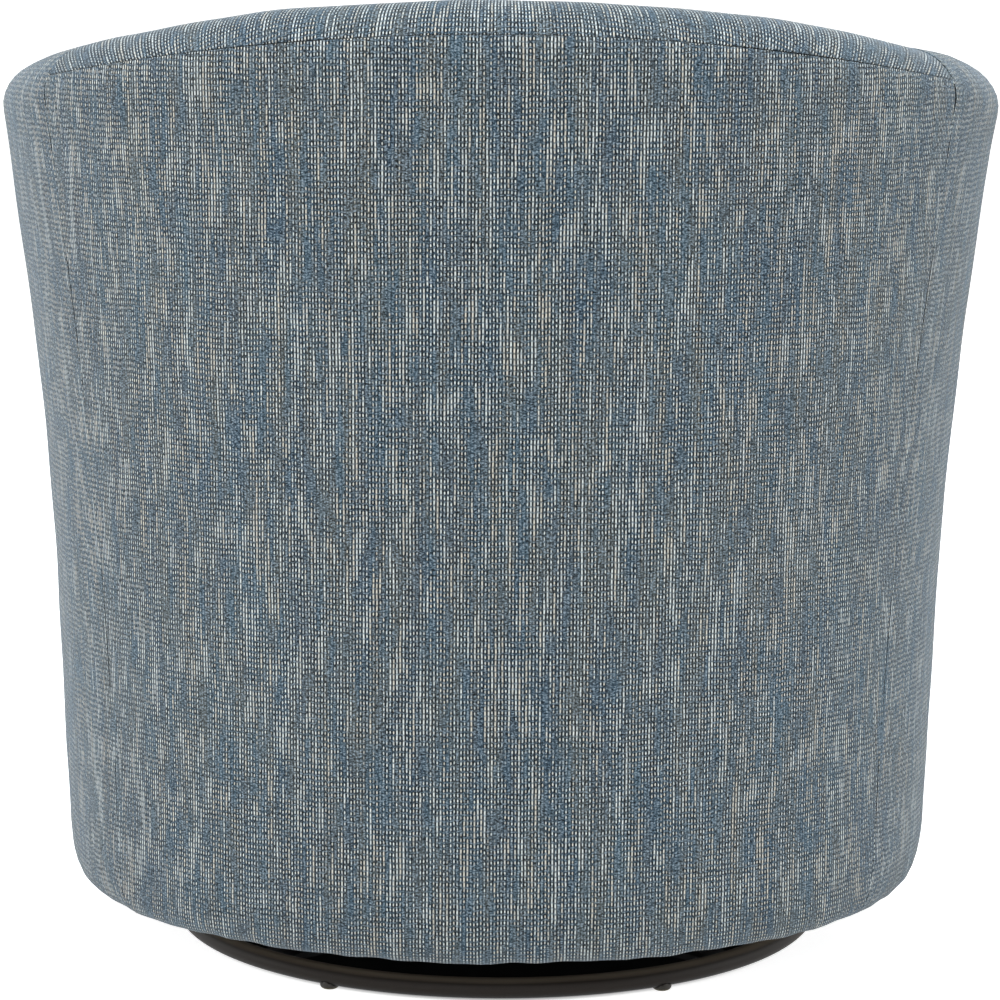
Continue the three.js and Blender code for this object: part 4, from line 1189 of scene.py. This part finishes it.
def finishNode(piece, slot):
    piece.data.materials.clear()
    piece.data.materials.append(finishes[slot])
    if "custom_normal" in piece.data.attributes:
        piece.data.attributes.remove(piece.data.attributes["custom_normal"])
    piece.data.shade_smooth()
    piece.modifiers.new("weld", "WELD").merge_threshold = smoothing["weldDistance"]
    piece.modifiers.new("split", "EDGE_SPLIT").split_angle = smoothing["splitAngle"]


for slot, beginnings in keptNodes.items():
    for name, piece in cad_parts.items():
        if name.startswith(beginnings):
            finishNode(piece, slot)
print("kept nodes are finished")

# Floor and studio light
studio = {
    "floorReach": 60.0,
    "floorColour": shade(236, 236, 236),
    "paintedShadowColour": shade(40, 40, 40),
    "openRadius": 0.244,  # under the chair the floor has its shadow only, and a painted shadow darkens its colour
    "fadeRadius": 0.257,
    "lift": 0.85,  # how bright the clear floor is behind the chair
    "worldLevel": 0.42,
    "aim": (0, 0, 0.4),
}


# 1 for rays that see the background straight, in a reflection or through glass
def backgroundRays(f):
    rays = [f.node("LightPath", output=number) for number in (0, 3, 6)]
    return f.maths("MAXIMUM", rays[0], f.maths("MAXIMUM", rays[1], rays[2]))


def makeFloor():
    f = Finish("floor", Roughness=0.9, Specular_IOR_Level=0.1, Emission_Strength=1.0)
    radius = f.node("VectorMath", {"operation": "LENGTH"}, {0: f.objectPlace()}, 1)
    width = studio["fadeRadius"] - studio["openRadius"]
    clear = f.step(radius, studio["openRadius"] + width / 2, width)
    # painted shadow: the floor's colour is darker under the chair
    f.set("Base_Color", f.mix(clear, studio["paintedShadowColour"], studio["floorColour"]))
    f.set("Emission_Color", f.mix(backgroundRays(f) * clear * studio["lift"], (0, 0, 0, 1), (1, 1, 1, 1)))
    return f.material


def buildFloor():
    mesh = bpy.data.meshes.new("floor")
    reach = studio["floorReach"]
    corners = [(-reach, -reach, 0), (reach, -reach, 0), (reach, reach, 0), (-reach, reach, 0)]
    mesh.from_pydata(corners, [], [(0, 1, 2, 3)])
    mesh.materials.append(makeFloor())
    addObject("floor", mesh)


def buildWorld():
    world = bpy.data.worlds.new("studio")
    bpy.context.scene.world = world
    world.use_nodes = True
    f = Nodes(world.node_tree)
    plain = f.tree.nodes["Background"]
    f.feed(plain.inputs["Color"], (1, 1, 1, 1))
    f.feed(plain.inputs["Strength"], studio["worldLevel"])
    white = f.node("Background", inputs={"Color": (1, 1, 1, 1), "Strength": 1.0})
    both = f.node("MixShader", inputs={0: backgroundRays(f), 1: Wire(f, plain.outputs[0]), 2: white})
    f.feed(f.tree.nodes["World Output"].inputs["Surface"], both)


lamps = {
    "keyLamp": {"place": (0.8, 3.8, 2.6), "size": (2.6, 2.0), "power": 92},
    "topLamp": {"place": (0.0, 0.6, 2.9), "size": (2.6, 2.2), "power": 66, "colour": (0.77, 0.90, 1.0)},
    "leftLamp": {"place": (3.2, 0.6, 1.0), "size": (1.6, 1.8), "power": 29},
    "rightLamp": {"place": (-3.2, 0.6, 1.0), "size": (1.6, 1.8), "power": 30},
    "frontLamp": {"place": (-0.8, -3.6, 2.2), "size": (2.4, 2.0), "power": 60},
}


def buildLamps():
    for name, lamp in lamps.items():
        data = bpy.data.lights.new(name, "AREA")
        data.shape = "RECTANGLE"
        data.size, data.size_y = lamp["size"]
        data.energy = lamp["power"]
        data.color = lamp.get("colour", (1, 1, 1))
        thing = addObject(name, data)
        thing.location = lamp["place"]
        aim = Vector(studio["aim"]) - Vector(lamp["place"])
        thing.rotation_euler = aim.to_track_quat("-Z", "Y").to_euler()


buildFloor()
buildWorld()
buildLamps()
bpy.context.scene.view_settings.view_transform = "Standard"
print("studio is made")
